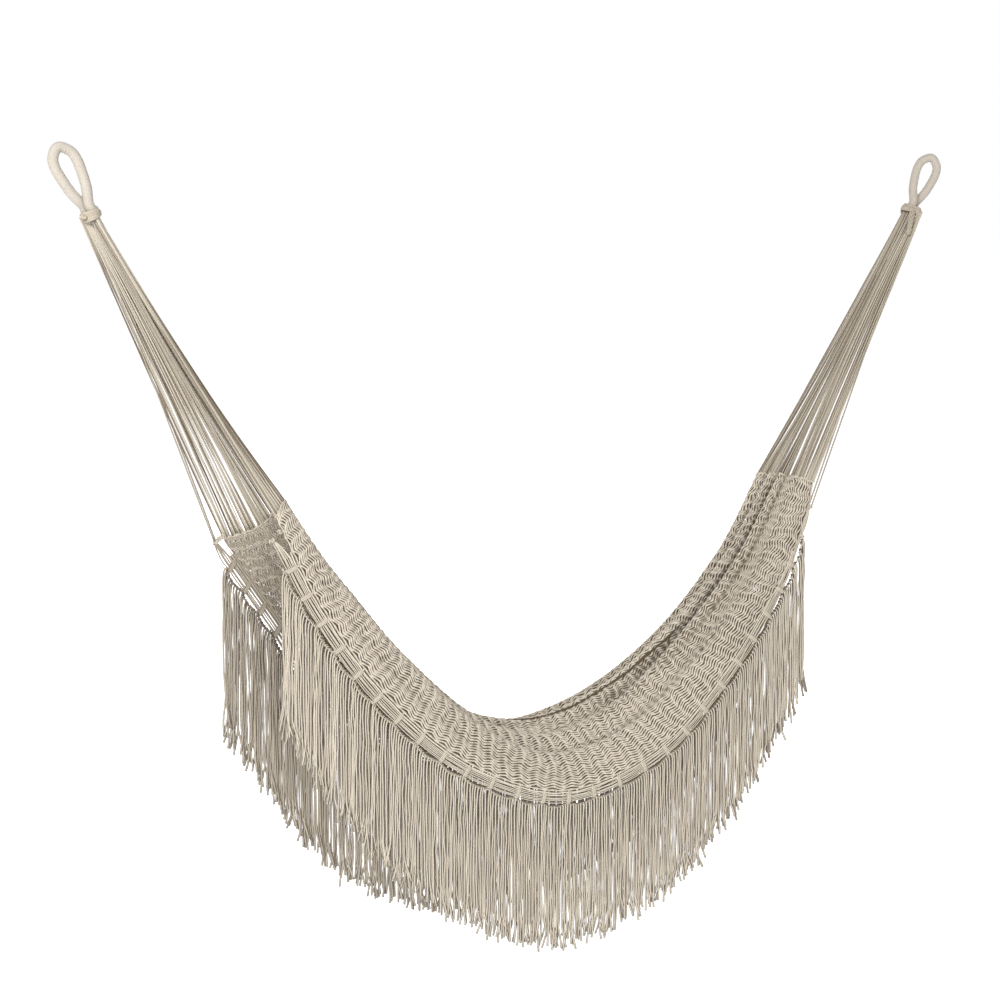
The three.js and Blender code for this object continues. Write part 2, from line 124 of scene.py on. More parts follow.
# View of the whole hammock from its left, a little above it
view = {"place": (-0.2705, -3.1273, -0.0899), "turn": 22.5, "dip": 6.049, "lens": 49.597, "shiftY": -0.16,
        "sensor": 36, "clipEnd": 60}
camera = addObject("camera", bpy.data.cameras.new("camera"))
camera.location = view["place"]
camera.rotation_euler = (math.radians(90 - view["dip"]), 0, math.radians(-view["turn"]))
camera.data.lens = view["lens"]
camera.data.sensor_width = view["sensor"]
camera.data.shift_y = view["shiftY"]
camera.data.clip_end = view["clipEnd"]
bpy.context.scene.camera = camera


# Smoothstep of x between low and high
def ease(x, low, high):
    t = clip((np.asarray(x, float) - low) / (high - low), 0, 1)
    return t * t * (3 - 2 * t)


# Each vector of the last axis divided by its length
def unit(v):
    return v / np.maximum(norm(v, axis=-1, keepdims=True), 1e-12)


# Smooth curve through evenly spaced values, read at u and a little beyond: a cubic between neighbours, its slopes
# half the step across
def through(values, u, beyondEnds=0.08):
    values = np.asarray(values, float)
    last = len(values) - 1
    place = clip(np.asarray(u, float), -beyondEnds, 1 + beyondEnds) * last
    first = clip(np.floor(place).astype(int), 0, last - 1)
    t = place - first
    wide = concatenate([[2 * values[0] - values[1]], values, [2 * values[-1] - values[-2]]])
    a, b, c, d = (wide[first + k] for k in range(4))
    slopeIn, slopeOut = (c - a) / 2, (d - b) / 2
    return b + t * (slopeIn + t * (3 * (c - b) - 2 * slopeIn - slopeOut + t * (2 * (b - c) + slopeIn + slopeOut)))


# Lower line of a border: near and far curves mixed by side, -1 near to 1 far, with the half width as depth
def borderLine(u, side):
    u, side = np.broadcast_arrays(np.asarray(u, float), np.asarray(side, float))
    k = (side + 1) / 2
    x = hanging["seatSpan"] * ((1 - k) * through(bed["nearX"], u) + k * through(bed["farX"], u))
    z = hanging["bedDrop"] * ((1 - k) * through(bed["nearZ"], u) + k * through(bed["farZ"], u))
    y = side * through(bed["halfWidths"], u) - bed["restShift"] * sin(pi * u)
    return stack([x, y, z], -1)


# Unit vectors along the bed and square to it in the vertical plane, from a short chord of the lower line
def alongAndUp(u, side):
    e = 0.004
    along = borderLine(np.asarray(u) + e, side) - borderLine(np.asarray(u) - e, side)
    along[..., 1] = 0
    along = unit(along)
    up = stack([-along[..., 2], np.zeros_like(along[..., 0]), along[..., 0]], -1)
    return along, up


# Point above a border's lower line, at a height square to the bed
def borderPoint(u, side, height):
    return borderLine(u, side) + alongAndUp(u, side)[1] * np.asarray(height)[..., None]


# How far the near border and the net's edge are drawn together towards the right end
def rightTuck(u):
    return ease(u, *bed["tucked"])


# Bell over a distance across: 1 in its middle, small beyond its width
def bell(across, width):
    return exp(-(across / width) ** 2)


# Plain shape of the net: v runs over the arch, height is a half sine with three lengthwise folds pressed in
def netShape(u, v):
    u, v = np.broadcast_arrays(np.asarray(u, float), np.asarray(v, float))
    side, lift = -cos(pi * v), sin(pi * v)
    along, up = alongAndUp(u, side)
    dips = sum(bell(v - place, bed["foldWidth"]) for place in bed["foldPlaces"])
    height = netStart + (through(bed["archHeights"], u) - netStart) * lift
    height = height + through(bed["farRises"], u) * side * lift - through(bed["foldDepths"], u) * dips
    last, less = bed["tuckEased"]
    height = height - bed["tuck"] * rightTuck(u) * (1 - less * ease(u, last, 1)) * bell(v, bed["tuckWidth"])
    bow = bed["rowBow"] * lift * (1 - ease(u, 0, bed["bowEnd"]))
    bow = bow + through(bed["rowDrop"], v) * (1 - ease(u, 0, bed["rowDropEnd"]))
    return borderLine(u, side) + up * height[..., None] + along * bow[..., None]


# Outward normal of the net, from its two slopes
def netNormal(u, v):
    e = 0.003
    alongU = netShape(u + e, v) - netShape(u - e, v)
    acrossV = netShape(u, np.minimum(v + e, 1)) - netShape(u, np.maximum(v - e, 0))
    return unit(cross(alongU, acrossV))


# Depth of the creases and darkness of their painted shade: each a bell over v round its own line
def creaseDepth(u, v):
    return sum(interp(u, c["u"], c["depth"]) * bell(v - interp(u, c["u"], c["v"]), c["width"])
               for c in bed["creases"])


def creaseDark(u, v, most=0.9):
    return sum(interp(u, c["u"], c["depth"]) / max(c["depth"][1:]) * c["dark"] *
               bell(v - c["shift"] - interp(u, c["u"], c["v"]), c["band"]) for c in bed["creases"]).clip(0, most)


# Point of the net: the plain shape with its creases pressed in along the normal
def netPoint(u, v):
    u, v = np.broadcast_arrays(np.asarray(u, float), np.asarray(v, float))
    return netShape(u, v) - netNormal(u, v) * creaseDepth(u, v)[..., None]


# Place along the bed of a count of bars, which may lie between two
def barPlace(edge, bars):
    return edge["first"] + np.asarray(bars, float) * border["barStep"]


# How far the near edge cord and fringe are gathered at their bars, towards the right end
def nearGather(edge, bars):
    return (edge["side"] < 0) * ease(barPlace(edge, bars), *border["gathered"])


# Lowest edge cord of a border, hung in scallops between its bars
def edgePoint(edge, bars, height=0.0):
    held = np.minimum(bars, edge["bars"] - 0.5)
    last = ease(bars, edge["bars"] - 0.9, edge["bars"] + 0.1)
    deeper = 1 + nearGather(edge, held) * (border["deeper"] - border["lastLess"] * last)
    dip = border["scallopTop"] - border["scallopDip"] * deeper * abs(sin(pi * held)) - border["edgeHalf"]
    return borderPoint(barPlace(edge, bars), edge["side"], dip + height)


# Smooth seeded noise of x: a few sines whose phases come from the seed, about -1 to 1
def wander(x, seed, waves=4):
    rng = np.random.default_rng(seed)
    rates, phases = rng.uniform(0.55, 1.9, waves), rng.uniform(0, 2 * pi, waves)
    return sum(sin(2 * pi * np.asarray(x) * r + p) for r, p in zip(rates, phases)) / waves ** 0.5


# Round or oval section carried along many paths at once: centre + a cos(turn) + b sin(turn), with a across the path
def tubes(paths, radius, sides, across, flat=1.0, tone=0.0, gap=1.0, dark=0.0, darkOut=0.0):
    paths = np.asarray(paths, float)
    if paths.ndim == 2:
        paths = paths[None]
    forward = unit(np.gradient(paths, axis=1))
    a = np.broadcast_to(np.asarray(across, float), paths.shape)
    a = unit(a - (a * forward).sum(-1, keepdims=True) * forward)
    b = cross(forward, a)
    r = np.broadcast_to(np.asarray(radius, float), paths.shape[:2])[:, :, None, None]
    angle = 2 * pi * arange(sides) / sides
    ring = cos(angle)[:, None] * a[:, :, None] + flat * sin(angle)[:, None] * b[:, :, None]
    steps = norm(diff(paths, axis=1), axis=-1)
    along = concatenate([np.zeros((len(paths), 1)), cumsum(steps, 1)], 1)
    levels = [np.broadcast_to(np.asarray(value, float), paths.shape[:2])[..., None] + 0 * angle
              for value in (tone, gap, dark)]
    # darkOut adds painted shade on the side of each section that faces across
    levels[2] = levels[2] + darkOut * clip(cos(angle) + 0.3, 0, 1)
    return {"points": paths[:, :, None] + r * ring, "along": along, "levels": stack(levels)}


# One mesh of tube grids: quads between rings, an end face on each tube, cord lengths and turns as its UV map
def meshPiece(name, grids, material, body=None):
    blocks, base = [], 0
    for grid in grids:
        points, along = grid["points"], grid["along"]
        n, m, s = points.shape[:3]
        ids = base + arange(n * m * s).reshape(n, m, s)
        base += n * m * s
        turned = np.roll(ids, -1, 2)
        quads = stack([ids[:, :-1], turned[:, :-1], turned[:, 1:], ids[:, 1:]], -1)
        ends = concatenate([ids[:, 0, ::-1], ids[:, -1]])
        turn = np.broadcast_to(arange(s) / s, (n, m - 1, s))
        low, high = (np.broadcast_to(part[..., None], turn.shape) for part in (along[:, :-1], along[:, 1:]))
        turns = stack([turn, turn + 1 / s, turn + 1 / s, turn], -1)
        quadMap = stack([stack([low, low, high, high], -1), turns], -1)
        endMap = stack([np.repeat(concatenate([along[:, 0], along[:, -1]])[:, None], s, 1),
                        np.broadcast_to(arange(s) / s, (2 * n, s))], -1)
        blocks.append((points.reshape(-1, 3), grid["levels"].reshape(3, -1).T,
                       concatenate([quads.ravel(), ends.ravel()]),
                       concatenate([quadMap.reshape(-1, 2), endMap.reshape(-1, 2)]),
                       np.repeat([4, s], [quads.size // 4, 2 * n])))
    coords, levels, corners, maps, sizes = (concatenate(part) for part in zip(*blocks))
    mesh = bpy.data.meshes.new(name)
    mesh.vertices.add(len(coords))
    mesh.vertices.foreach_set("co", coords.astype(np.float32).ravel())
    mesh.loops.add(len(corners))
    mesh.loops.foreach_set("vertex_index", corners.astype(np.int32))
    mesh.polygons.add(len(sizes))
    mesh.polygons.foreach_set("loop_start", concatenate([[0], cumsum(sizes)[:-1]]).astype(np.int32))
    mesh.uv_layers.new(name="cordMap").data.foreach_set("uv", maps.astype(np.float32).ravel())
    mesh.update(calc_edges=True)
    mesh.validate()
    mesh.polygons.foreach_set("use_smooth", sizes == 4)
    for label, values in zip(("cordTone", "cordGap", "cordDark"), levels.T):
        mesh.attributes.new(label, "FLOAT", "POINT").data.foreach_set("value", values.astype(np.float32))
    mesh.materials.append(material)
    piece = addObject(name, mesh)
    if body:
        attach(piece, body)
    print(f"{name}: {int((sizes - 2).sum())} triangles")
    return piece


# Inputs of a node by label or number: sockets are linked and plain values set
def fillInputs(tree, node, inputs):
    for label, value in inputs.items():
        if isinstance(value, bpy.types.NodeSocket):
            tree.links.new(value, node.inputs[label])
        else:
            node.inputs[label].default_value = value
    return node


def addNode(tree, kind, inputs):
    return fillInputs(tree, tree.nodes.new(kind), inputs)


def mathNode(tree, operation, *values):
    node = tree.nodes.new("ShaderNodeMath")
    node.operation = operation
    return fillInputs(tree, node, dict(enumerate(values))).outputs[0]


# Two colours mixed by a factor, on the numbered colour sockets of a mix node
def mixColours(tree, factor, first, second):
    node = tree.nodes.new("ShaderNodeMix")
    node.data_type = "RGBA"
    return fillInputs(tree, node, {0: factor, 6: first, 7: second}).outputs[2]


# Empty shader group: its number inputs, each with its value, and its outputs, all numbers but the normal
def newGroup(name, inputs, outputs):
    group = bpy.data.node_groups.new(name, "ShaderNodeTree")
    for label, value in inputs.items():
        socket = group.interface.new_socket(name=label, in_out="INPUT", socket_type="NodeSocketFloat")
        socket.default_value = value
    for label in outputs:
        kind = "NodeSocketVector" if label == "Normal" else "NodeSocketFloat"
        group.interface.new_socket(name=label, in_out="OUTPUT", socket_type=kind)
    return group, group.nodes.new("NodeGroupInput").outputs, group.nodes.new("NodeGroupOutput")


# Laid cord: plies wind round the cord, ridges where |sin| of turn less length is high, with fibre noise along them;
# Side marks its two flanks, where the painted shade between cords goes
def laidCordGroup(fibreScale=900, ridgePower=0.7, sidePower=3.0):
    group, take, give = newGroup("laidCord", {"Pitch": 0.01, "Plies": 3.0, "Depth": 0.0005, "Fuzz": 0.3},
                                 ("Ridge", "Fibre", "Side", "Normal"))
    uv = group.nodes.new("ShaderNodeUVMap")
    uv.uv_map = "cordMap"
    parts = addNode(group, "ShaderNodeSeparateXYZ", {0: uv.outputs[0]})
    length, turn = parts.outputs[0], parts.outputs[1]
    wound = mathNode(group, "MULTIPLY", turn, take["Plies"])
    laid = mathNode(group, "SUBTRACT", wound, mathNode(group, "DIVIDE", length, take["Pitch"]))
    sine = mathNode(group, "SINE", mathNode(group, "MULTIPLY", laid, pi))
    ridge = mathNode(group, "POWER", mathNode(group, "ABSOLUTE", sine), ridgePower)
    place = group.nodes.new("ShaderNodeTexCoord").outputs["Object"]
    noise = addNode(group, "ShaderNodeTexNoise", {"Scale": fibreScale, "Detail": 3, "Vector": place}).outputs[0]
    height = mathNode(group, "ADD", ridge, mathNode(group, "MULTIPLY", noise, take["Fuzz"]))
    bump = addNode(group, "ShaderNodeBump", {"Strength": 1, "Distance": take["Depth"], "Height": height})
    edgeOn = mathNode(group, "ABSOLUTE", mathNode(group, "SINE", mathNode(group, "MULTIPLY", turn, 2 * pi)))
    fillInputs(group, give, {"Ridge": ridge, "Fibre": noise, "Normal": bump.outputs[0],
                             "Side": mathNode(group, "POWER", edgeOn, sidePower)})
    return group


# Handling and age: broad soft patches and fine mottling, both as masks
def agedCottonGroup():
    group, take, give = newGroup("agedCotton", {"Patch Size": 0.12, "Mottle Size": 0.008}, ("Patches", "Mottle"))
    place = group.nodes.new("ShaderNodeTexCoord").outputs["Object"]
    for label, out, detail in (("Patch Size", "Patches", 2), ("Mottle Size", "Mottle", 3)):
        scale = mathNode(group, "DIVIDE", 1.0, take[label])
        noise = addNode(group, "ShaderNodeTexNoise", {"Detail": detail, "Vector": place, "Scale": scale})
        spread = addNode(group, "ShaderNodeMapRange", {"Value": noise.outputs[0], "From Min": 0.3, "From Max": 0.7})
        fillInputs(group, give, {out: spread.outputs[0]})
    return group


laidCord, agedCotton = laidCordGroup(), agedCottonGroup()


def placeGroup(tree, group, values):
    node = tree.nodes.new("ShaderNodeGroup")
    node.node_tree = group
    return fillInputs(tree, node, values).outputs


# Linear colour of a hex one
def colour(hexText):
    parts = [int(hexText[i:i + 2], 16) / 255 for i in (0, 2, 4)]
    return tuple(c / 12.92 if c <= 0.04045 else ((c + 0.055) / 1.055) ** 2.4 for c in parts) + (1,)


def cordValue(tree, label):
    node = tree.nodes.new("ShaderNodeAttribute")
    node.attribute_name = label
    return node.outputs["Fac"]


# Cotton cord: grooves darker than ridges as painted shade, each cord with its own tone, patches of age over all,
# painted shade in the gaps
def cottonMaterial(name, values):
    material = bpy.data.materials.new(name)
    material.use_nodes = True
    tree = material.node_tree
    tint = {label: colour(values[label]) for label in ("ridge", "groove", "shade", "agedAndShaded", "speck", "hollow")}
    cord = placeGroup(tree, laidCord, {label: values[label] for label in ("Pitch", "Plies", "Depth", "Fuzz")})
    age = placeGroup(tree, agedCotton, {label: values[label] for label in ("Patch Size", "Mottle Size")})
    toneUp = mathNode(tree, "MULTIPLY_ADD", cordValue(tree, "cordTone"), values["toneSpread"], 0.5)
    skin = mixColours(tree, toneUp, tint["shade"], mixColours(tree, cord["Ridge"], tint["groove"], tint["ridge"]))
    for mask, amount, over in (("Patches", "patches", "agedAndShaded"), ("Mottle", "mottle", "speck")):
        skin = mixColours(tree, mathNode(tree, "MULTIPLY", age[mask], values[amount]), skin, tint[over])
    # Painted shade: the cords' flanks take the hollow colour where their gaps are open, and cordDark darkens them
    # towards it too
    side = mathNode(tree, "MULTIPLY", cord["Side"], values["between"])
    between = mathNode(tree, "MULTIPLY", side, cordValue(tree, "cordGap"))
    skin = mixColours(tree, mathNode(tree, "MAXIMUM", between, cordValue(tree, "cordDark")), skin, tint["hollow"])
    rough = mathNode(tree, "MULTIPLY_ADD", cord["Fibre"], values["fibreRoughness"], values["roughness"])
    fillInputs(tree, tree.nodes["Principled BSDF"], {
        "Base Color": skin, "Roughness": rough, "Normal": cord["Normal"], "Sheen Weight": values["sheen"],
        "Sheen Roughness": values["sheenRoughness"], "Specular IOR Level": values["specular"]})
    return material


# groove: the plies' painted shade; hollow: colour of the painted shade between cords, between: its strength
cottonLook = {
    "Pitch": 0.009, "Plies": 3.0, "Depth": 0.0006, "Fuzz": 0.35, "Patch Size": 0.14, "Mottle Size": 0.006,
    "ridge": "ebe3d5", "groove": "beb19c", "shade": "cfc4b1", "agedAndShaded": "d8ccb9", "speck": "c6b8a2",
    "toneSpread": 0.4, "patches": 0.2, "mottle": 0.1, "roughness": 0.8, "fibreRoughness": 0.16, "sheen": 0.15,
    "sheenRoughness": 0.6, "specular": 0.25, "between": 0.8, "hollow": "5a4a37",
}
cotton = {name: cottonMaterial(f"{name}Cotton", {**cottonLook, **own}) for name, own in {
    "net": {"Pitch": 0.008, "ridge": "efe7da", "between": 1.0},
    "border": {"Depth": 0.00005, "Fuzz": 0.1, "groove": "e2d9c9", "between": 1.0},
    "bar": {"Pitch": 0.007, "Depth": 0.0003, "ridge": "eee7da", "groove": "d5c9b5", "between": 0.35},
    "fringe": {"Pitch": 0.011, "toneSpread": 0.7},
    "clew": {"Pitch": 0.012, "Depth": 0.00002, "Fuzz": 0.1, "ridge": "d8d0c2", "groove": "d6cebf", "shade": "aea38e",
             "agedAndShaded": "c3b8a5", "toneSpread": 0.8, "mottle": 0, "between": 0.85},
    "wrap": {"Pitch": 0.0016, "Plies": 46.0, "Depth": 0.0001, "ridge": "dcd2c1", "groove": "c6bba8", "between": 0.3},
    "sleeve": {"Pitch": 0.0016, "Plies": 46.0, "Depth": 0.00012, "ridge": "d3ccc1", "groove": "bdb5a8",
               "shade": "c7bfb3", "agedAndShaded": "c2b9ab", "patches": 0.3, "roughness": 0.86, "sheen": 0.3, "between": 0.0},
}.items()}
print("materials made")

# Net: cords run lengthwise in rounded zigzags, neighbours drawn together and apart so that slit pores stay open
net = {
    "cords": 85, "samples": 940, "sides": 5, "radius": 0.0025, "strips": 5, "girthGrid": (121, 161),
    "pitch": 0.0062, "rightWider": 0.13, "widerFrom": (0.6, 0.82),   # from one cord to the next in the upper layer
    "touching": 0.44,         # greatest radius, in pitches
    "zigzag": 0.0042,         # half width of the zigzag
    "period": 0.038,          # one whole zigzag
    "columns": 2,             # columns of pores in it
    "columnSpread": 0.8, "poreRound": 0.8, "step": 0.25, "stepSharp": 2.5,
    "puff": 0.0008, "swell": 0.16,   # the net stands out and in with its columns, and its cords are thicker between
    "skew": 0.05,             # each cord's zigzag a little after its neighbour's
    "calm": 0.4, "calmFrom": (0.5, 0.66), "calmBand": 0.15,   # straighter beside the near border's right half
    "edgeMargin": 0.0004, "edgeBand": 0.03,
    "drop": 0.0042,           # cords that the short girth leaves no room for lie this far under the others
    "dropSoft": 1.2, "dropShare": 0.02, "dropThin": 0.2,
    "wanders": {   # amount, length of a wave, shift from cord to cord or over the girth, seed
        "slow": (0.7, 0.9, 1.3, 11), "quick": (0.9, 0.37, 2.3, 13), "column": (0.4, 0.3, 4.6, 12),
        "aside": (0.0006, 0.06, 3.7, 5), "lift": (0.0005, 0.03, 5.1, 6), "gap": (0.3, 0.05, 2.9, 8),
        "broad": (0.25, 0.16, 2.4, 15)},
    "gap": {"open": 1.25, "closed": 0.1, "ends": 0.22, "left": (0.06, 0.2), "right": (0.68, 0.85),
            "least": 0.03, "rightLeast": 0.12, "leastFrom": (0.68, 0.82), "mean": 0.95},
    "shade": {"crease": 0.18, "creaseGap": 0.9, "farLeft": 0.2, "farV": (0.55, 0.75), "nearRight": 0.05,
              "nearU": (0.8, 0.9), "nearV": (0.5, 0.7), "edgeRight": 0.2, "edgeU": (0.66, 0.84), "edgeBand": 0.08},
    "under": {"cords": 62, "samples": 420, "sides": 5, "radius": 0.0035, "touching": 0.45, "depth": 0.0046,
              "zigzag": 0.0040, "lag": 2.4, "ripple": 0.0004, "edgeBand": 0.06, "dark": 0.55, "darkOut": 0.5},
}
# Painted shadow of the deepest fold: a line of dark cords laid along it
foldLine = {   # the deepest fold, under the crown
    "u": (0.46, 0.53, 0.57, 0.62, 0.66, 0.72, 0.78), "v": (0.566, 0.566, 0.557, 0.551, 0.541, 0.525, 0.515),
    "samples": 220, "second": 0.0035, "wander": 0.002, "radius": 0.0019, "uneven": 0.3, "outward": 0.0027,
}


# Girth of the arch from the near border, tabled over its length and its v
def netGirths(samples):
    stations, columns = net["girthGrid"]
    coarseU, gridV = linspace(0, 1, stations), linspace(0, 1, columns)
    surface = netPoint(coarseU[:, None], gridV[None])
    across = norm(diff(surface, axis=1), axis=-1)
    girth = concatenate([np.zeros((stations, 1)), cumsum(across, 1)], 1)
    middle = norm(diff(surface[:, columns // 2], axis=0), axis=-1)
    lengthOf = concatenate([[0], cumsum(middle)])
    length = linspace(0, lengthOf[-1], samples)
    u = interp(length, lengthOf, coarseU)
    spot = u * (stations - 1)
    low = clip(spot.astype(int), 0, stations - 2)
    return length, u, girth[low] + (girth[low + 1] - girth[low]) * (spot - low)[:, None]


# Net points where the girth from the near border is as wanted, moved out along the normal
def onNet(u, rows, want, outward):
    last = rows.shape[1] - 1
    want = clip(want, net["edgeMargin"], rows[:, -1] - net["edgeMargin"])
    below = clip((rows[None] < want[:, :, None]).sum(-1) - 1, 0, last - 1)
    k = arange(len(u))[None]
    left, right = rows[k, below], rows[k, below + 1]
    v = (below + (want - left) / (right - left)) / last
    normal = netNormal(np.broadcast_to(u, v.shape), v)
    return netPoint(np.broadcast_to(u, v.shape), v) + normal * outward[..., None], normal, v


# Rounded zigzag of the length, -1 to 1
def zigzagOf(phase):
    return 2 / pi * np.arcsin(0.95 * sin(phase))


# Order in which cords leave the upper layer: by their counts' reversed bits, so that the others stay evenly spread
def dropOrder(count, bits=7):
    spread = sum(((arange(2 ** bits) >> k) & 1) / 2 ** (k + 1) for k in range(bits))[:count]
    return np.argsort(np.argsort(spread, kind="stable"), kind="stable")[:, None]


# 1 away from both edges of the net, easing to 0 on them
def edgeEase(share, band):
    return ease(share, 0, band) * ease(1 - share, 0, band)


def netWander(name, length, shift):
    amount, reach, spread, seed = net["wanders"][name]
    return amount * wander(length / reach + shift * spread, seed)


# Painted shade between the net's cords, more at both ends, and painted shade on whole cords in creases and shaded
# places
def netShades(length, u, v, share, open_, i):
    look, shade = net["gap"], net["shade"]
    leftEnd = 1 - ease(u, *look["left"])
    ends = look["ends"] * (ease(u, *look["right"]) + leftEnd)
    least = look["least"] + look["rightLeast"] * ease(u, *look["leastFrom"])
    gap = clip(look["open"] * open_ - look["closed"] + ends + netWander("gap", length, i), least, 1)
    gap = (gap * (look["mean"] + netWander("broad", length, share))).clip(0, 1)
    inside = (shade["farLeft"] * leftEnd * ease(v, *shade["farV"])
              + shade["nearRight"] * ease(u, *shade["nearU"]) * (1 - ease(v, *shade["nearV"]))
              + shade["edgeRight"] * ease(u, *shade["edgeU"]) * bell(share, shade["edgeBand"]))
    return gap, creaseDark(u[None], v) * (shade["crease"] + shade["creaseGap"] * gap) + inside


# Cord i of the net: even share of the girth among the cords on top + zigzag + a quarter pitch to and fro by columns
def netCords():
    count = net["cords"]
    length, u, rows = netGirths(net["samples"])
    whole = rows[:, -1]
    i = arange(count)[:, None]
    wanted = net["pitch"] * (1 + net["rightWider"] * ease(u, *net["widerFrom"]))
    dropped = ease(dropOrder(count) - whole / wanted + 1, -net["dropSoft"], net["dropSoft"])
    onTop = 1 - dropped + net["dropShare"]
    share = (cumsum(onTop, 0) - onTop / 2) / onTop.sum(0)
    pitch = whole / onTop.sum(0)
    inner = edgeEase(share, net["edgeBand"])
    calm = 1 - net["calm"] * ease(u, *net["calmFrom"]) * bell(share, net["calmBand"])
    phase = (2 * pi * (length / net["period"]) + net["skew"] * i
             + netWander("slow", length, share) + netWander("quick", length, share))
    zig = net["zigzag"] * zigzagOf(phase) * inner * calm
    own = np.random.default_rng(14).uniform(-net["columnSpread"], net["columnSpread"], (count, 1))
    column = net["columns"] * phase + netWander("column", length, share) + own
    open_ = (0.5 + 0.5 * cos(column)) ** net["poreRound"]
    step = net["step"] * pitch * np.tanh(net["stepSharp"] * cos(column / 2))
    aside = (step + netWander("aside", length, i)) * inner * (1 - dropped)
    lift = net["puff"] * (0.5 - open_) * calm + netWander("lift", length, i) - net["drop"] * dropped
    path, normal, v = onNet(u, rows, share * whole + zig + aside, lift)
    radius = np.minimum(net["radius"], net["touching"] * pitch) * (1 - net["dropThin"] * dropped)
    radius = radius * (1 + net["swell"] * (0.5 - open_) * (1 - dropped))
    return path, np.broadcast_to(radius, path.shape[:2]), normal, *netShades(length, u, v, share, open_, i)


# Under layer of the net: fewer cords between and beneath the others, zigzagging against them
def underCords():
    under = net["under"]
    length, u, rows = netGirths(under["samples"])
    i = arange(under["cords"])[:, None]
    share = (i + 0.5) / under["cords"]
    phase = 2 * pi * length / net["period"] + under["lag"] + net["skew"] * i
    want = share * rows[:, -1] + under["zigzag"] * zigzagOf(phase) * edgeEase(share, under["edgeBand"])
    path, normal = onNet(u, rows, want, -under["depth"] - under["ripple"] * sin(phase))[:2]
    return path, np.minimum(under["radius"], under["touching"] * rows[:, -1] / under["cords"]), normal


# Painted shadow of the deepest fold: two dark cords on the net along a line of v, a little over it, thin at both ends
def foldShadowCords():
    along = linspace(0, 1, foldLine["samples"])
    u = linspace(foldLine["u"][0], foldLine["u"][-1], foldLine["samples"])
    v = interp(u, foldLine["u"], foldLine["v"]) + foldLine["wander"] * wander(u * 9, 61)
    v = v + array([[0], [foldLine["second"]]])
    u = np.broadcast_to(u, v.shape)
    thick = clip(3 * sin(pi * along), 0.15, 1) * (1 + foldLine["uneven"] * wander(u * 14, 62))
    normal = netNormal(u, v)
    return netPoint(u, v) + normal * foldLine["outward"], foldLine["radius"] * thick, normal


paths, radii, normals, gaps, darks = netCords()
tones = np.random.default_rng(3).uniform(-0.5, 0.5, net["cords"])[:, None] + 0 * radii
strips = []
perStrip = net["cords"] // net["strips"]
for k in range(net["strips"]):
    part = slice(k * perStrip, (k + 1) * perStrip)
    grids = [tubes(paths[part], radii[part], net["sides"], normals[part], tone=tones[part], gap=gaps[part],
                   dark=darks[part])]
    # The middle strip also carries the painted shadow line of the deepest fold
    if k == net["strips"] // 2:
        deep, thick, out = foldShadowCords()
        grids.append(tubes(deep, thick, net["sides"], out, dark=1.0))
    strips.append(meshPiece(f"net_strip_{k + 1}", grids, cotton["net"], "bed"))
    lengths = norm(diff(paths[part], axis=1), axis=-1).sum(1)
    print(f"  cords {lengths.min():.2f} to {lengths.max():.2f} m long")
under = net["under"]
paths, radii, normals = underCords()
linings = []
for k, part in enumerate((slice(0, under["cords"] // 2), slice(under["cords"] // 2, None))):
    # The under cords carry painted shade, more on their outer side beneath the upper cords
    grid = tubes(paths[part], radii, under["sides"], normals[part], dark=under["dark"], darkOut=under["darkOut"])
    linings.append(meshPiece(f"net_under_{k + 1}", [grid], cotton["net"], "bed"))
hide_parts("woven_bed")
print("net made")


def edges():
    return ((name, border[name]) for name in ("near", "far"))


# Share of its height that a border keeps: less where the near one is drawn together at the right end
def kept(edge, bars, loss):
    return 1 - border[loss] * edge["drawn"] * rightTuck(barPlace(edge, bars))


# Bar count beyond the left or right end of a border's bars
def beyond(edge, sign, bars):
    return -bars if sign > 0 else edge["bars"] - 1 + bars


def borderKnot(edge, sign):
    return borderPoint(barPlace(edge, beyond(edge, sign, border["knotBars"])), edge["side"], edge["knotHeight"])


# Lines along a border at even heights over its lower line, ending a share of a bay beyond the last bars
def borderRows(edge, low, i, past, samples):
    bars = linspace(beyond(edge, 1, past), beyond(edge, -1, past), samples)
    height = (low + i * border["pitch"]) * kept(edge, bars, "cordLoss")
    return bars, borderPoint(barPlace(edge, bars)[None] + 0 * height, edge["side"], height)


# Border cords: even rows, bowed apart between bars and closing to the knots beyond them
def borderCordPaths(edge):
    i = arange(border["cords"])[:, None]
    bars, cords = borderRows(edge, edge["low"], i, border["knotBars"], border["samples"])
    bay = np.floor(bars).clip(-1, edge["bars"])[None]
    between = abs(sin(pi * clip(bars, -0.4, edge["bars"] - 0.6))) ** 0.8
    own = border["uneven"] * sin(7.3 * bay + 2.4 * i + 1.7 * sin(3.1 * bay * (i + 1)))
    bow = border["bow"] * (i / ((border["cords"] - 1) / 2) - 1)
    up = alongAndUp(barPlace(edge, bars), edge["side"])[1]
    cords = cords + up[None] * (between * (bow + own))[..., None]
    cords[..., 1] += border["wave"] * wander(bars[None] * 0.8 + 5.3 * i, 21 + edge["bars"])
    gather = border["gatherBars"]
    fan = 2 * pi * i / border["cords"]
    ring = stack([0 * fan, cos(fan), sin(fan)], -1) * border["ring"]
    for past, sign in ((-bars, 1), (bars - (edge["bars"] - 1), -1)):
        hold = ((past - gather) / (border["knotBars"] - gather)).clip(0, 1)
        cords = cords + (borderKnot(edge, sign) + ring - cords) * hold[None, :, None]
    return cords


# Cords behind the border cords, half a pitch higher, in their shade
def borderLining(edge):
    i = 0.5 + edge["liningRows"][:, None]
    lining = borderRows(edge, border["lowest"], i, border["gatherBars"], border["liningSamples"])[1]
    lining[..., 1] -= edge["side"] * edge["liningBack"]
    return lining


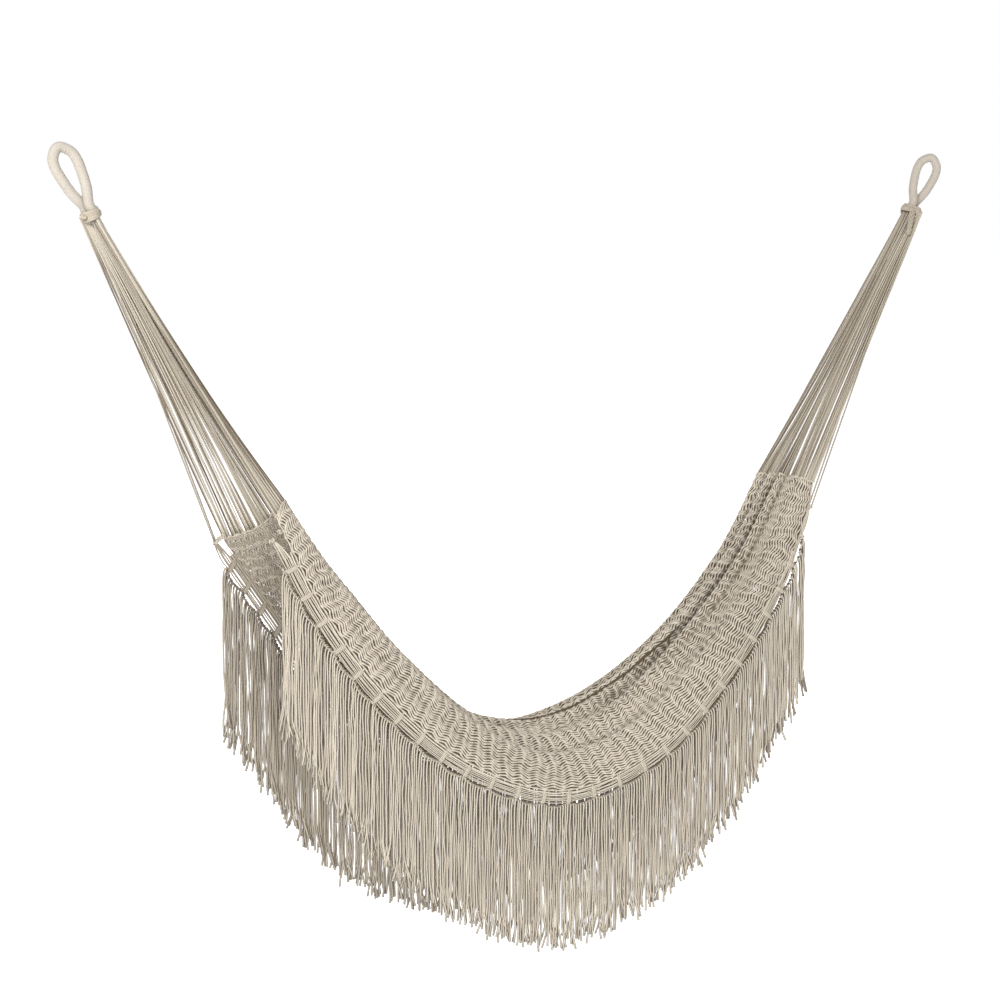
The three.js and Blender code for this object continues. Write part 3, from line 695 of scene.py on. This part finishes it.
# Dark cords in the slits between the near border and its edge cord, a painted shadow, left open in the middle and at
# the right end
def slitLining(edge, samples=180, raised=0.0046, behind=0.0030):
    u = stack([linspace(low, high, samples) for low, high in edge["slits"]])
    lines = edgePoint(edge, (u - edge["first"]) / border["barStep"], raised)
    lines[..., 1] -= edge["side"] * behind
    return lines


bar = {
    "turns": 4, "steps": 20, "over": 0.0024, "uneven": 0.0012, "highRound": 0.55, "deep": 0.0037, "deepRound": 0.7,
    "width": 0.0088, "aside": 0.0008, "radius": 0.0018, "leanUntil": (0.1, 0.45), "shadeUntil": (0.15, 0.4),
    "tieSteps": 9, "tieReach": 0.004, "tieSpread": 0.0011, "tieOut": 0.0046, "tieRadius": 0.0017,
}


# How far a bar's head leans to the left end: most on the far border's first bars
def barLean(edge, u):
    return edge["barLean"] / 2 * (1 - ease(u, *bar["leanUntil"]))


def signedPower(x, power):
    return np.sign(x) * abs(x) ** power


# Wrapped bar: flat turns side by side round all the border cords, each a long oval with its own tilt
def wrappedBars(edge):
    bars, side = arange(edge["bars"]), edge["side"]
    u = barPlace(edge, bars)
    along, up = alongAndUp(u, side)
    depth = cross(up, along)
    drawn = kept(edge, bars, "barLoss")
    centre = borderPoint(u, side, borderMiddle * drawn)
    rng = np.random.default_rng(40 + edge["bars"])
    half = (border["cords"] / 2 * border["pitch"] + bar["over"]) * drawn
    angle = 2 * pi * linspace(0, bar["turns"], bar["turns"] * bar["steps"] + 1)
    tall = half + bar["uneven"] * rng.uniform(-1, 1, len(bars))
    high = tall[:, None] * signedPower(cos(angle), bar["highRound"])
    deep = bar["deep"] * signedPower(sin(angle), bar["deepRound"]) + 0 * high
    shift = bar["width"] * (angle / angle[-1] - 0.5) + rng.uniform(-bar["aside"], bar["aside"], (len(bars), 1))
    shift = shift - barLean(edge, u)[:, None] * high / half[0]
    return (centre[:, None] + up[:, None] * high[..., None] + depth[:, None] * deep[..., None]
            + along[:, None] * shift[..., None])


# Ties of a bar: two short cords from the bar's head over the margin cord into the net
def barTies(edge):
    bars, side = arange(edge["bars"]), edge["side"]
    u = barPlace(edge, bars)[:, None]
    t = linspace(0, 1, bar["tieSteps"])
    reach = netStart + bar["tieReach"] - borderMiddle
    height = (borderMiddle + reach * t) * kept(edge, bars, "cordLoss")[:, None]
    ties = []
    for lean in (-1, 1):
        point = borderPoint(u + lean * bar["tieSpread"] * (1 - t), side, height)
        point[..., 0] -= barLean(edge, u) * 2 * t
        point[..., 1] += side * bar["tieOut"] * sin(pi * (0.5 + 0.5 * t))
        ties.append(point)
    return concatenate(ties)


# Knot: a thumb knot's closed curve, three lobes woven over each other, turned to the cord it is on
def knotPaths(centres, size, facing):
    t = linspace(0, 2 * pi, 49)
    shape = stack([sin(t) + 2 * sin(2 * t), cos(t) - 2 * cos(2 * t), -1.3 * sin(3 * t)], -1) / 3
    axis = unit(np.asarray(facing, float))
    a = unit(cross(axis, [0.2, 1, 0.1]))
    b = cross(axis, a)
    turned = shape[:, 0, None] * a[:, None] + shape[:, 1, None] * b[:, None] + shape[:, 2, None] * axis[:, None]
    return np.asarray(centres)[:, None] + size * turned


fringe = {
    "spacing": 0.0072, "cordShare": 0.4, "beyondFirst": 0.12, "beforeKnot": 0.1, "jitter": 0.2, "gather": 0.85,
    "raised": 0.0020, "raisedFrom": (0.1, 0.14), "raisedTo": (0.82, 0.86), "lowest": (0.9, 0.47, 0.09),   # back heads
    "short": 0.004, "uneven": 0.008, "long": 0.02, "longOver": 0.955, "rightLonger": 0.14, "longerFrom": (0.84, 0.95),
    "radius": 0.0024, "thick": 0.22, "steps": 15, "tipSteps": (0.92, 0.95, 0.975, 1), "head": (-70, -20, 30, 75),
    "drift": 0.0024, "driftWaves": ((0.046, 0, 3.1, 1, 1), (0.021, 1.7, 2, 2, 0.6)), "driftReach": 0.4,
    "sway": 0.0012, "deepSway": 0.00154, "swayWave": 0.15, "deepWave": 0.13, "curl": 0.011, "curlFrom": (0.83, 1.06),
    "splay": 0.007, "away": 0.0045, "awayLeast": 0.001, "awayReach": 0.006, "standOut": 0.0034, "standLeast": 0.0014,
    "overCord": 0.0009, "backIn": 0.0035, "backOut": 0.0025,
    "farShade": 0.26, "backShade": 0.14, "headShade": 0.6, "rightShade": (0.08, 0.4), "shadeFrom": (0.6, 0.78),
}


# Heads of a layer's strands: spread along the edge cord partly by its length, gathered at the near right bars, the
# back ones a little raised
def strandHeads(edge, layer, rng):
    last = edge["bars"] - 1 + border["knotBars"] - fringe["beforeKnot"]
    fine = linspace(-fringe["beyondFirst"], last, 3000)
    line = edgePoint(edge, fine)
    share = fringe["cordShare"]
    run = norm(diff(line, axis=0), axis=-1) * share + abs(diff(line[:, 0])) * (1 - share)
    placed = concatenate([[0], cumsum(run)])
    count = int(placed[-1] / fringe["spacing"])
    order = arange(count) + 0.5 + 0.5 * layer + rng.uniform(-fringe["jitter"], fringe["jitter"], count)
    bars = interp(order / (count + 0.5) * placed[-1], placed, fine)
    bars = bars - fringe["gather"] * nearGather(edge, bars) * sin(2 * pi * bars) / (2 * pi)
    place = barPlace(edge, bars)
    most, middle, band = fringe["lowest"]
    raised = layer * fringe["raised"] * (1 - ease(place, *fringe["raisedTo"])) * ease(place, *fringe["raisedFrom"])
    return bars, place, edgePoint(edge, bars, raised * (1 - most * bell(place - middle, band)))


# Length of each strand: the border's own, uneven from strand to strand and in waves, a few longer, more at the right
def strandLengths(edge, layer, bars, place, rng):
    own = rng.normal(0, 0.7, len(bars)).clip(-1.2, 1.2)
    length = edge["fringe"] - fringe["short"] + fringe["uneven"] * (own + wander(bars / 1.7, 33 + layer))
    few = rng.uniform(0, 1, len(bars)) > fringe["longOver"]
    length = length + fringe["long"] * few * rng.uniform(0.2, 0.8, len(bars))
    return length * (1 + fringe["rightLonger"] * ease(place, *fringe["longerFrom"]) * (edge["side"] < 0))


# Fringe strand: over the edge cord from behind, away from it square to the border, then down with a slow wander
def fringeStrands(edge, layer):
    side = edge["side"]
    rng = np.random.default_rng(60 + edge["bars"] + 7 * layer)
    bars, place, top = strandHeads(edge, layer, rng)
    up, count = alongAndUp(place, side)[1], len(bars)
    tip = fringe["tipSteps"]
    f = concatenate([linspace(0, 0.88, fringe["steps"] - len(tip)), tip])
    length = strandLengths(edge, layer, bars, place, rng)[:, None]
    drop = length * (0.05 * f + 0.95 * f ** 2.1)
    x0 = top[:, :1]
    waves = sum(size * sin(2 * pi * x0 / wave + start + rate * drop / fringe["driftReach"] + lag * layer)
                for wave, start, rate, lag, size in fringe["driftWaves"])
    drift = fringe["drift"] * np.sqrt(clip(drop / 0.3, 0, 1.3)) * waves
    own = fringe["sway"] * ease(drop, 0, 0.05) * wander(drop / fringe["swayWave"] + rng.uniform(0, 40, (count, 1)), 71)
    curl = rng.normal(0, 1, (count, 1, 2)).clip(-1.5, 1.5)
    curl = fringe["curl"] * ease(drop / length, *fringe["curlFrom"])[..., None] * curl
    outward = 2 * x0 / hanging["seatSpan"] - 1
    x = drift + own + fringe["splay"] * outward * drop / edge["fringe"] + curl[..., 0]
    deep = wander(drop / fringe["deepWave"] + rng.uniform(0, 40, (count, 1)), 72) * ease(drop, 0, 0.06)
    front = side * (1 - 2 * layer)
    stand = fringe["standOut"] * exp(-drop / 0.1) + fringe["standLeast"]
    away = fringe["away"] * (1 - exp(-drop / fringe["awayReach"])) + fringe["awayLeast"]
    hang = top[:, None] - up[:, None] * away[..., None]
    hang = hang + stack([x, front * stand + fringe["deepSway"] * deep + curl[..., 1], -drop], -1)
    head = np.radians(fringe["head"])
    reach = border["edgeHalf"] + fringe["overCord"]
    over = top[:, None] + up[:, None] * (reach * cos(head))[None, :, None]
    over[..., 1] += (front * reach * 1.1 * sin(head))[None]
    if layer:
        over[..., 1] -= fringe["backIn"] * front
        hang[..., 1] += fringe["backOut"] * front * exp(-drop / 0.02)
        over = over[:, 1:2]
    paths = concatenate([over, hang], 1)
    shade = fringe["headShade"] * layer * bell(norm(paths - top[:, None], axis=-1), 0.012)
    right = fringe["rightShade"][0] + fringe["rightShade"][1] * layer
    shade = shade + fringe["farShade"] * (side > 0)
    shade = shade + (layer * fringe["backShade"] + right * ease(place, *fringe["shadeFrom"]))[:, None]
    return paths, rng.uniform(-0.5, 0.5, (count, 1)) * np.ones(paths.shape[1]), shade.clip(0, 1)


# Cords side by side from one knot to another, bowed apart a little
def linkCords(start, end, count, seed, bow=0.0042, uneven=0.0014):
    t = linspace(0, 1, 14)[None, :, None]
    spread = np.random.default_rng(seed).uniform(-1, 1, (count, 1, 3)) * [0.6, 1, 0.4]
    order = linspace(-1, 1, count)[:, None, None] * unit(cross(end - start, [0, 1, 0]))
    return start * (1 - t) + end * t + (bow * order + uneven * spread) * sin(pi * t)


# Piece of a border or fringe, kept under its border's name
def edgePiece(name, words, grids, look):
    pieces[name, words] = meshPiece(f"{name}_{words}", grids, cotton[look], "bed")
    return pieces[name, words]


pieces = {}
facing = array([0.0, 1.0, 0.0])
radii = border["radii"]
for name, edge in edges():
    side = edge["side"]
    cords = borderCordPaths(edge)
    # Painted shade along the border cords: darker towards the near border's right end and the far border's left end
    start, end, *span = edge["agedAndShaded"]
    agedAndShaded = start + (end - start) * ease(linspace(0, 1, border["samples"]), *span)
    tones = linspace(-0.4, 0.4, border["cords"])[:, None]
    grids = [tubes(cords, edge["thick"], 6, facing, tone=tones, dark=agedAndShaded)]
    bars = linspace(beyond(edge, 1, 0.5), beyond(edge, -1, 0.5), border["marginSamples"])
    height = marginHeight * kept(edge, bars, "barLoss") + border["wave"] * wander(bars * 0.7, 9)
    # Painted shade on the lining cords, the darkest of them a little thicker
    deep = array(edge["liningDark"])[:, None]
    thick = radii["lining"] + radii["deepMore"] * (deep == 1)
    grids += [tubes(borderPoint(barPlace(edge, bars), side, height), radii["margin"], 6, facing),
              tubes(borderLining(edge), thick, 5, facing, dark=deep)]
    if edge["slits"]:
        grids.append(tubes(slitLining(edge), radii["slit"], 5, facing, dark=0.95))
    piece = edgePiece(name, "border_cords", grids, "border")
    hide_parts(*[f"{name}_border_cord_{i + 1}" for i in range(6)])
    barU = barPlace(edge, arange(edge["bars"]))
    shade = (edge["barShade"] * (1 - ease(barU, *bar["shadeUntil"])))[:, None]
    grids = [tubes(wrappedBars(edge), bar["radius"], 6, alongAndUp(barU, side)[0][:, None], dark=shade),
             tubes(barTies(edge), bar["tieRadius"], 5, [1.0, 0, 0.2], dark=concatenate([shade, shade]))]
    piece = edgePiece(name, "wrapped_bars", grids, "bar")
    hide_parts(f"{name}_crossbar_row")
    scallop = edgePoint(edge, linspace(-0.16, edge["bars"] - 1 + border["knotBars"], border["scallopSamples"]))
    edgePiece(name, "edge_cord", [tubes(scallop, radii["edge"], 6, facing)], "border")
    ends = stack([borderKnot(edge, sign) for sign in (1, -1)])
    inner = borderPoint(barPlace(edge, [beyond(edge, sign, 0) for sign in (1, -1)]), side, borderMiddle)
    corners = stack([borderPoint(u, side, h) for u, h in edge["corners"]])
    links = concatenate([linkCords(ends[k], corners[k], 4, 17 + k) for k in edge["links"]])
    cornerKnots = knotPaths(corners, border["cornerKnot"], corners - ends)
    edgePiece(name, "corner_links", [tubes(links, radii["link"], 6, facing, dark=0.15),
                                     tubes(cornerKnots, radii["corner"], 8, facing, dark=0.25)], "border")
    knots = knotPaths(ends, border["knot"], ends - inner)
    piece = edgePiece(name, "border_knots", [tubes(knots, radii["knot"], 8, facing, dark=0.25)], "bar")
    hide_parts(f"{name}_left_border_gather", f"{name}_right_border_gather")
    for layer, word in ((0, "front"), (1, "back")):
        strands, tone, dark = fringeStrands(edge, layer)
        half, steps = len(strands) // 2, strands.shape[1]
        girth = fringe["radius"] * (1 + fringe["thick"] * ease(arange(steps) / steps, 0.7, 1))
        for part, label in ((slice(0, half), "left"), (slice(half, None), "right")):
            grids = [tubes(strands[part], girth, 4, [0.3, 1.0, 0], tone=tone[part], dark=dark[part])]
            edgePiece(name, f"fringe_{word}_{label}", grids, "fringe")
    for label in ("left", "right"):
        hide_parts(f"{name}_fringe_{label}")
print("borders and fringes made")

# Clews: cords from each neck to the bed's end row in three layers, close together at first and then fanned
clew = {
    "cords": 90, "radius": 0.0020, "samples": 44, "layer": 0.0042, "layerIn": 0.6, "layerDeep": 0.75,
    "bundles": (0, 0.13, 0.27, 0.36, 0.52, 0.60, 0.74, 0.83, 0.93, 1), "tight": 0.90,    # their ends over the row
    "together": 0.25, "uneven": 0.0028, "fall": (0.87, 0.48), "hidden": (0.014, 0.007), "streaks": 0.5,
    "facing": (0.1, 1.0, 0.2), "rowInset": 0.001, "rowRadius": 0.0030, "rowDark": 0.22,
    "lead": {"start": 0.008, "spread": 0.0045, "foot": 0.0022, "dark": 0.35},
    "left": {"sag": 0.003, "pinch": 0.28, "neckHalf": 0.0235, "core": 0.75},
    "right": {"sag": 0.001, "pinch": 0.30, "neckHalf": 0.029, "core": 0.42},
}
endSides = (("left", 1), ("right", -1))


# Mouth of a whipping, the way from it to its seat, and the loop's own vectors across and in depth
def neckFrame(sign):
    middle = hanging["seatSpan"] / 2
    neck = array([middle - sign * (middle - hanging["neckInset"]), 0, -hanging["neckDrop"]])
    outward = unit(array([-sign * hanging["neckInset"], 0, hanging["neckDrop"]]))
    across = array([sign * outward[2], 0, -sign * outward[0]])
    turn = math.radians(hanging["loopTurn"]["left" if sign > 0 else "right"])
    near, far = math.cos(turn), math.sin(turn)
    turned = (w * near + cross(outward, w) * far + outward * (outward @ w) * (1 - near)
              for w in (across, array([0.0, 1.0, 0.0])))
    return neck, outward, *turned


# Clew cord: straight line from neck to foot, less a pinch towards the axis and plus a sag, both 4t(1-t)
def clewPaths(sign, share, word):
    values = clew[word]
    neck, outward = neckFrame(sign)[:2]
    rowU = (0 if sign > 0 else 1) - sign * clew["rowInset"]
    ends = array(clew["bundles"])
    group = np.searchsorted(ends, share) - 1
    place = (ends[group] + ends[group + 1]) / 2
    foot = netPoint(rowU, (place + (share - place) * clew["tight"]).clip(0.004, 0.996))
    axis = unit(netPoint(rowU, linspace(0, 1, 41)).mean(0) - neck)
    off = foot - neck
    off = off - (off @ axis)[:, None] * axis
    layer = ((arange(len(share)) * 2 % 3) - 1)[:, None] * clew["layer"]
    root = neck + off * values["neckHalf"] / norm(off, axis=1).max()
    inward = cross(axis, [0, 1, 0]) * -sign
    root = root + layer * array([0, clew["layerDeep"], 0]) + layer * clew["layerIn"] * inward
    t = linspace(0, 1, clew["samples"])[None, :, None]
    hump = 4 * t * (1 - t)
    down = unit(array([-sign * clew["fall"][0], 0, -clew["fall"][1]]))
    together = (netPoint(rowU, place) - foot)[:, None] * clew["together"] * sin(pi * t) ** 1.3 * t
    pinch = off[:, None] * sin(pi * share)[:, None, None] * values["pinch"] * hump
    own = np.random.default_rng(90 + (sign > 0)).uniform(-clew["uneven"], clew["uneven"], (len(share), 1, 3))
    sideways = layer[:, None] * unit(cross(cross(axis, off), axis) + 1e-9)[:, None] * clew["layerIn"]
    paths = root[:, None] * (1 - t) + foot[:, None] * t - pinch + down * values["sag"] * hump + together
    paths = paths + (own + sideways) * hump
    hidden = root[:, None] + outward * array(clew["hidden"])[None, :, None]
    return concatenate([hidden, paths], 1)


# Outer leads of a clew: two cords side by side from the neck to each border's knot
def clewLeads(sign, word):
    neck, outward, across = neckFrame(sign)[:3]
    values = clew["lead"]
    t = linspace(0, 1, 30)[:, None]
    leads = []
    for name, edge in edges():
        u, height = edge["corners"][0 if sign > 0 else 1]
        knot = borderPoint(u, edge["side"], height) if (name, word) == ("near", "right") else borderKnot(edge, sign)
        for k in (-1, 1):
            start = neck + unit(knot - neck) * 0.002 + array([0, edge["side"] * values["start"] + k * 0.002, 0])
            start = start + k * values["spread"] * across
            foot = knot + k * values["foot"] * (across + array([0, 1, 0]))
            leads.append(concatenate([[start + outward * 0.012], start * (1 - t) + foot * t]))
    return stack(leads)


# End row: a thick cord through the clews' feet, drawn up a little at each bundle of cords
def endRow(sign, bundles=17, pull=0.0030, uneven=0.0010, lower=0.0018):
    v = linspace(0, 1, 200)
    base = netPoint((0 if sign > 0 else 1) - sign * clew["rowInset"], v)
    drawn = pull * cos(pi * v * bundles + 0.8 * wander(v * 4, 51)) ** 2 + uneven * wander(v * 16, 52) - lower
    return base + unit(neckFrame(sign)[0] - base) * drawn[:, None]


for word, sign in endSides:
    share = (arange(clew["cords"]) + 0.5) / clew["cords"]
    fan = clewPaths(sign, share, word)
    rng = np.random.default_rng(7 + sign)
    inner = (arange(len(share)) * 2 % 3 == 1)[:, None]      # the middle layer, in the others' shade
    core = clew[word]["core"] * inner + clew["streaks"] * rng.uniform(0, 1, (len(share), 1)) ** 4
    core = core * (0.4 + 0.6 * ease(linspace(0, 1, fan.shape[1]), 0.04, 0.25))
    tones = rng.uniform(-0.5, 0.5, (len(share), 1))
    grids = [tubes(fan, clew["radius"], 6, clew["facing"], tone=tones, dark=core),
             tubes(clewLeads(sign, word), clew["radius"], 6, clew["facing"], dark=clew["lead"]["dark"])]
    neck, outward = neckFrame(sign)[:2]
    cordsPiece = meshPiece(f"{word}_clew", grids, cotton["clew"])
    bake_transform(cordsPiece)
    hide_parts(f"{word}_clew_cords")
    row = tubes(endRow(sign), clew["rowRadius"], 8, (0.1, 0.2, 1.0), dark=clew["rowDark"])
    meshPiece(f"{word}_end_row", [row], cotton["bar"], "bed")
print("clews made")

# Eye loops: a round sleeve along a teardrop, legs crossed over each other at the neck, creased inside its crown
eye = {
    "radius": 0.0115, "halfWidth": 0.026, "legSpread": 0.0046, "legDepth": 0.0056, "legEnd": 0.0173,
    "crown": ((0.43, 0.66, 0.5), (0.66, 0.93, 0), (0.84, 1, 0), (0.975, 0.76, 0)),   # height, width, crossing
    "samples": 260, "sides": 28, "legSamples": 60,
    "crease": 0.0007, "creases": 46, "creasePlace": (0.47, 0.09), "uneven": 0.35, "creaseFrom": 0.15,
    "contact": 0.55, "contactReach": 0.004, "shade": {"left": 0.03, "right": 0.2},
}


def eyeLine(sign):
    neck, outward, across, depth = neckFrame(sign)
    seat = math.hypot(hanging["neckInset"], hanging["neckDrop"])
    leg = [[k * eye["legEnd"], eye["legSpread"], -eye["legDepth"]] for k in (1, 2)]
    leg += [[h * seat, w * eye["halfWidth"], -c * eye["legDepth"]] for h, w, c in eye["crown"]]
    other = [[h, -w, -d] for h, w, d in leg[::-1]]
    controls = array(leg + [[seat + eye["radius"], 0, 0]] + other)
    t = linspace(0, 1, eye["samples"])
    local = stack([through(controls[:, k], t) for k in range(3)], -1)
    return neck + local[:, :1] * outward + local[:, 1:2] * across + local[:, 2:] * depth, depth


# Nearest distance from each point of one leg's skin to the other leg's line, for the painted shade where they touch
def legGap(points, line):
    count = 2 * eye["legSamples"]
    ends = np.r_[0:eye["legSamples"], eye["samples"] - eye["legSamples"]:eye["samples"]]
    apart = norm(points[ends][:, :, None] - line[ends[::-1]][None, None], axis=-1)
    first = arange(count) < eye["legSamples"]
    return ends, np.where(first[:, None, None] == first[::-1][None, None], 1.0, apart).min(-1)


for word, sign in endSides:
    line, depth = eyeLine(sign)
    grid = tubes(line, eye["radius"], eye["sides"], depth)
    points = grid["points"][0]
    t = linspace(0, 1, eye["samples"])[:, None]
    inner = unit(line.mean(0) - line)[:, None]
    facingIn = (unit(points - line[:, None]) * inner).sum(-1)
    middle, band = eye["creasePlace"]
    folds = bell(t - middle, band) * sin(2 * pi * t * eye["creases"]) + eye["uneven"] * wander(t * 14, 8)
    pressed = eye["crease"] * clip(facingIn + eye["creaseFrom"], 0, 1) * folds
    points -= unit(points - line[:, None]) * pressed[..., None]
    # Painted shade on the sleeve: a little on the left loop, more on the right, most where the two legs touch
    legEnds, apart = legGap(points, line)
    grid["levels"][2] += eye["shade"][word]
    touching = exp(-clip(apart - eye["radius"], 0, 1) / eye["contactReach"])
    grid["levels"][2][0][legEnds] += eye["contact"] * touching
    loop = meshPiece(f"{word}_eye_sleeve", [grid], cotton["sleeve"], "eyes")
    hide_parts(f"{word}_eye_loop")

# Whippings: a broad soft band wound round the legs' ends, a slanted turn over it and its knot at one side
whip = {
    "left": {"wide": 0.0180, "deep": 0.0186, "knot": (0.011, -1.0, -0.5), "slant": (0.0100, 0.0046, 2.6),
             "taper": 0.05, "shade": 0.16},
    "right": {"wide": 0.0262, "deep": 0.0205, "knot": (0.004, 0.10, -1.12), "slant": (0.0110, -0.0050, 1.2),
              "taper": 0.32, "shade": 0.34},
    "turns": 3.1, "pitch": 0.0056, "start": 0.0005, "band": 0.0056, "flat": 0.36, "lift": 0.0018, "tilt": 0.0016,
    "overTurns": 0.98, "overLift": 0.0036, "overPitch": 0.001, "overThin": 0.92,
    "knotSize": 0.0056, "knotRadius": 0.0029, "knotOut": (0.004, 0.006),
}
# Tail of the right whipping's tie, plaited of three: sin(turn) sideways and half sin(2 turn) in depth
tail = {"length": 0.072, "half": 0.0056, "radius": 0.0033, "crossings": 5.5, "stiffness": "medium", "samples": 90,
        "out": 0.009, "hang": (-0.30, -0.12, -1.0), "bow": 0.004, "taper": 0.45, "tipThin": 0.8, "dark": 0.08}


# Turn of a band: round the neck at its half widths, slowly along it, tilted by a cosine of the turn
def woundPath(sign, values, turns, lift, start, pitch, tilt, swing, steps=40):
    neck, outward, across, depth = neckFrame(sign)
    angle = 2 * pi * linspace(0, turns, int(turns * steps) + 1) + 0.6
    axial = start + pitch * (angle - angle[0]) / (2 * pi) + tilt * cos(angle + swing)
    girth = lift - values["taper"] * axial
    return (neck + axial[:, None] * outward + ((values["wide"] + girth) * cos(angle))[:, None] * across
            + ((values["deep"] + girth) * sin(angle))[:, None] * depth)


for word, sign in endSides:
    neck, outward, across, depth = neckFrame(sign)
    values = whip[word]
    shade = values["shade"]
    start, tilt, swing = values["slant"]
    around = woundPath(sign, values, whip["turns"], whip["lift"], whip["start"], whip["pitch"], whip["tilt"], swing + 2)
    over = woundPath(sign, values, whip["overTurns"], whip["overLift"], start, whip["overPitch"], tilt, swing)
    high, wide, deep = values["knot"]
    wideOut, deepOut = whip["knotOut"]
    bump = neck + high * outward + wide * (values["wide"] + wideOut) * across
    bump = bump + deep * (values["deep"] + deepOut) * depth
    knot = knotPaths([bump], whip["knotSize"], [outward + 0.4 * across])
    grids = [tubes(around, whip["band"], 10, outward, flat=whip["flat"], dark=shade),
             tubes(over, whip["overThin"] * whip["band"], 10, outward, flat=whip["flat"], dark=shade),
             tubes(knot, whip["knotRadius"], 8, depth, dark=shade)]
    band = meshPiece(f"{word}_whipping_cord", grids, cotton["wrap"], "eyes")
    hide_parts(f"{word}_whipping")

# The tail hangs from the last of the two, the right one
top = neck + 0.004 * outward - (values["deep"] + tail["out"]) * depth
t = linspace(0, 1, tail["samples"])[:, None]
middle = top + t * (tail["length"] * unit(array(tail["hang"]))) - tail["bow"] * sin(pi * t) * depth
size = tail["half"] * (1 - tail["taper"] * t) * (1 - ease(t, 0.9, 1) * tail["tipThin"])
turns = (2 * pi * (tail["crossings"] / 3 * t + k / 3) for k in range(3))
strands = stack([middle + size * sin(turn) * across + 0.45 * size * sin(2 * turn) * depth for turn in turns])
braid = meshPiece("right_tie_tail", [tubes(strands, tail["radius"], 8, depth, dark=shade + tail["dark"])],
                  cotton["wrap"], "eyes")
print("loops and whippings made")

# Each outer net strip gathered with its own side's border and fringe pieces and under layer; the groups are not used
# further
for k, strip in enumerate(strips):
    near, far = k == 0, k == len(strips) - 1
    group = [piece for key, piece in pieces.items() if (near and key[0] == "near") or (far and key[0] == "far")]
    group += linings[:1] if near else linings[1:] if far else []


# Rays that meet the backdrop straight, mirrored or through glass: the greatest of the three
def seenRays(tree):
    rays = tree.nodes.new("ShaderNodeLightPath").outputs
    straight = mathNode(tree, "MAXIMUM", rays["Is Camera Ray"], rays["Is Glossy Ray"])
    return mathNode(tree, "MAXIMUM", straight, rays["Is Transmission Ray"])


# Floor, light and backdrop: white to the camera, with the shadow kept on the floor
studio = {
    "middle": (1.16, 0.0, -1.1), "floorHeight": -2.36, "floorReach": 30, "floorSides": 64, "floorTone": 0.86,
    "floorGlow": 0.9, "sky": 0.27,
    "lamps": {
        "key": {"place": (-3.6, -5.6, 2.8), "size": 1.7, "power": 500},
        "front": {"place": (0.9, -6.2, -0.4), "size": 3.2, "power": 120},
        "back": {"place": (2.4, 6.0, 0.9), "size": 3.0, "power": 260},
    },
}
floorMaterial = bpy.data.materials.new("paleFloor")
floorMaterial.use_nodes = True
tree = floorMaterial.node_tree
fillInputs(tree, tree.nodes["Principled BSDF"], {
    "Base Color": (studio["floorTone"],) * 3 + (1,), "Roughness": 0.9, "Specular IOR Level": 0,
    "Emission Color": (1, 1, 1, 1),
    "Emission Strength": mathNode(tree, "MULTIPLY", seenRays(tree), studio["floorGlow"])})
angle = linspace(0, 2 * pi, studio["floorSides"] + 1)[:-1]
rim = studio["floorReach"] * stack([cos(angle), sin(angle)], -1)
floorMesh = bpy.data.meshes.new("floor")
floorMesh.from_pydata([(x + studio["middle"][0], y, studio["floorHeight"]) for x, y in rim.tolist()], [],
                      [list(range(studio["floorSides"]))])
floorMesh.materials.append(floorMaterial)
floor = addObject("floor", floorMesh)

world = bpy.data.worlds.new("studio")
bpy.context.scene.world = world
world.use_nodes = True
tree = world.node_tree
strength = mathNode(tree, "MULTIPLY_ADD", seenRays(tree), 1 - studio["sky"], studio["sky"])
fillInputs(tree, tree.nodes["Background"], {"Color": (1, 1, 1, 1), "Strength": strength})

for name, lamp in studio["lamps"].items():
    light = bpy.data.lights.new(name, "AREA")
    light.energy, light.size = lamp["power"], lamp["size"]
    holder = addObject(name, light)
    away = array(lamp["place"]) - array(studio["middle"])
    holder.location = lamp["place"]
    holder.rotation_euler = (math.atan2(math.hypot(away[0], away[1]), away[2]), 0, math.atan2(away[0], -away[1]))
bpy.context.scene.view_settings.view_transform = "Standard"
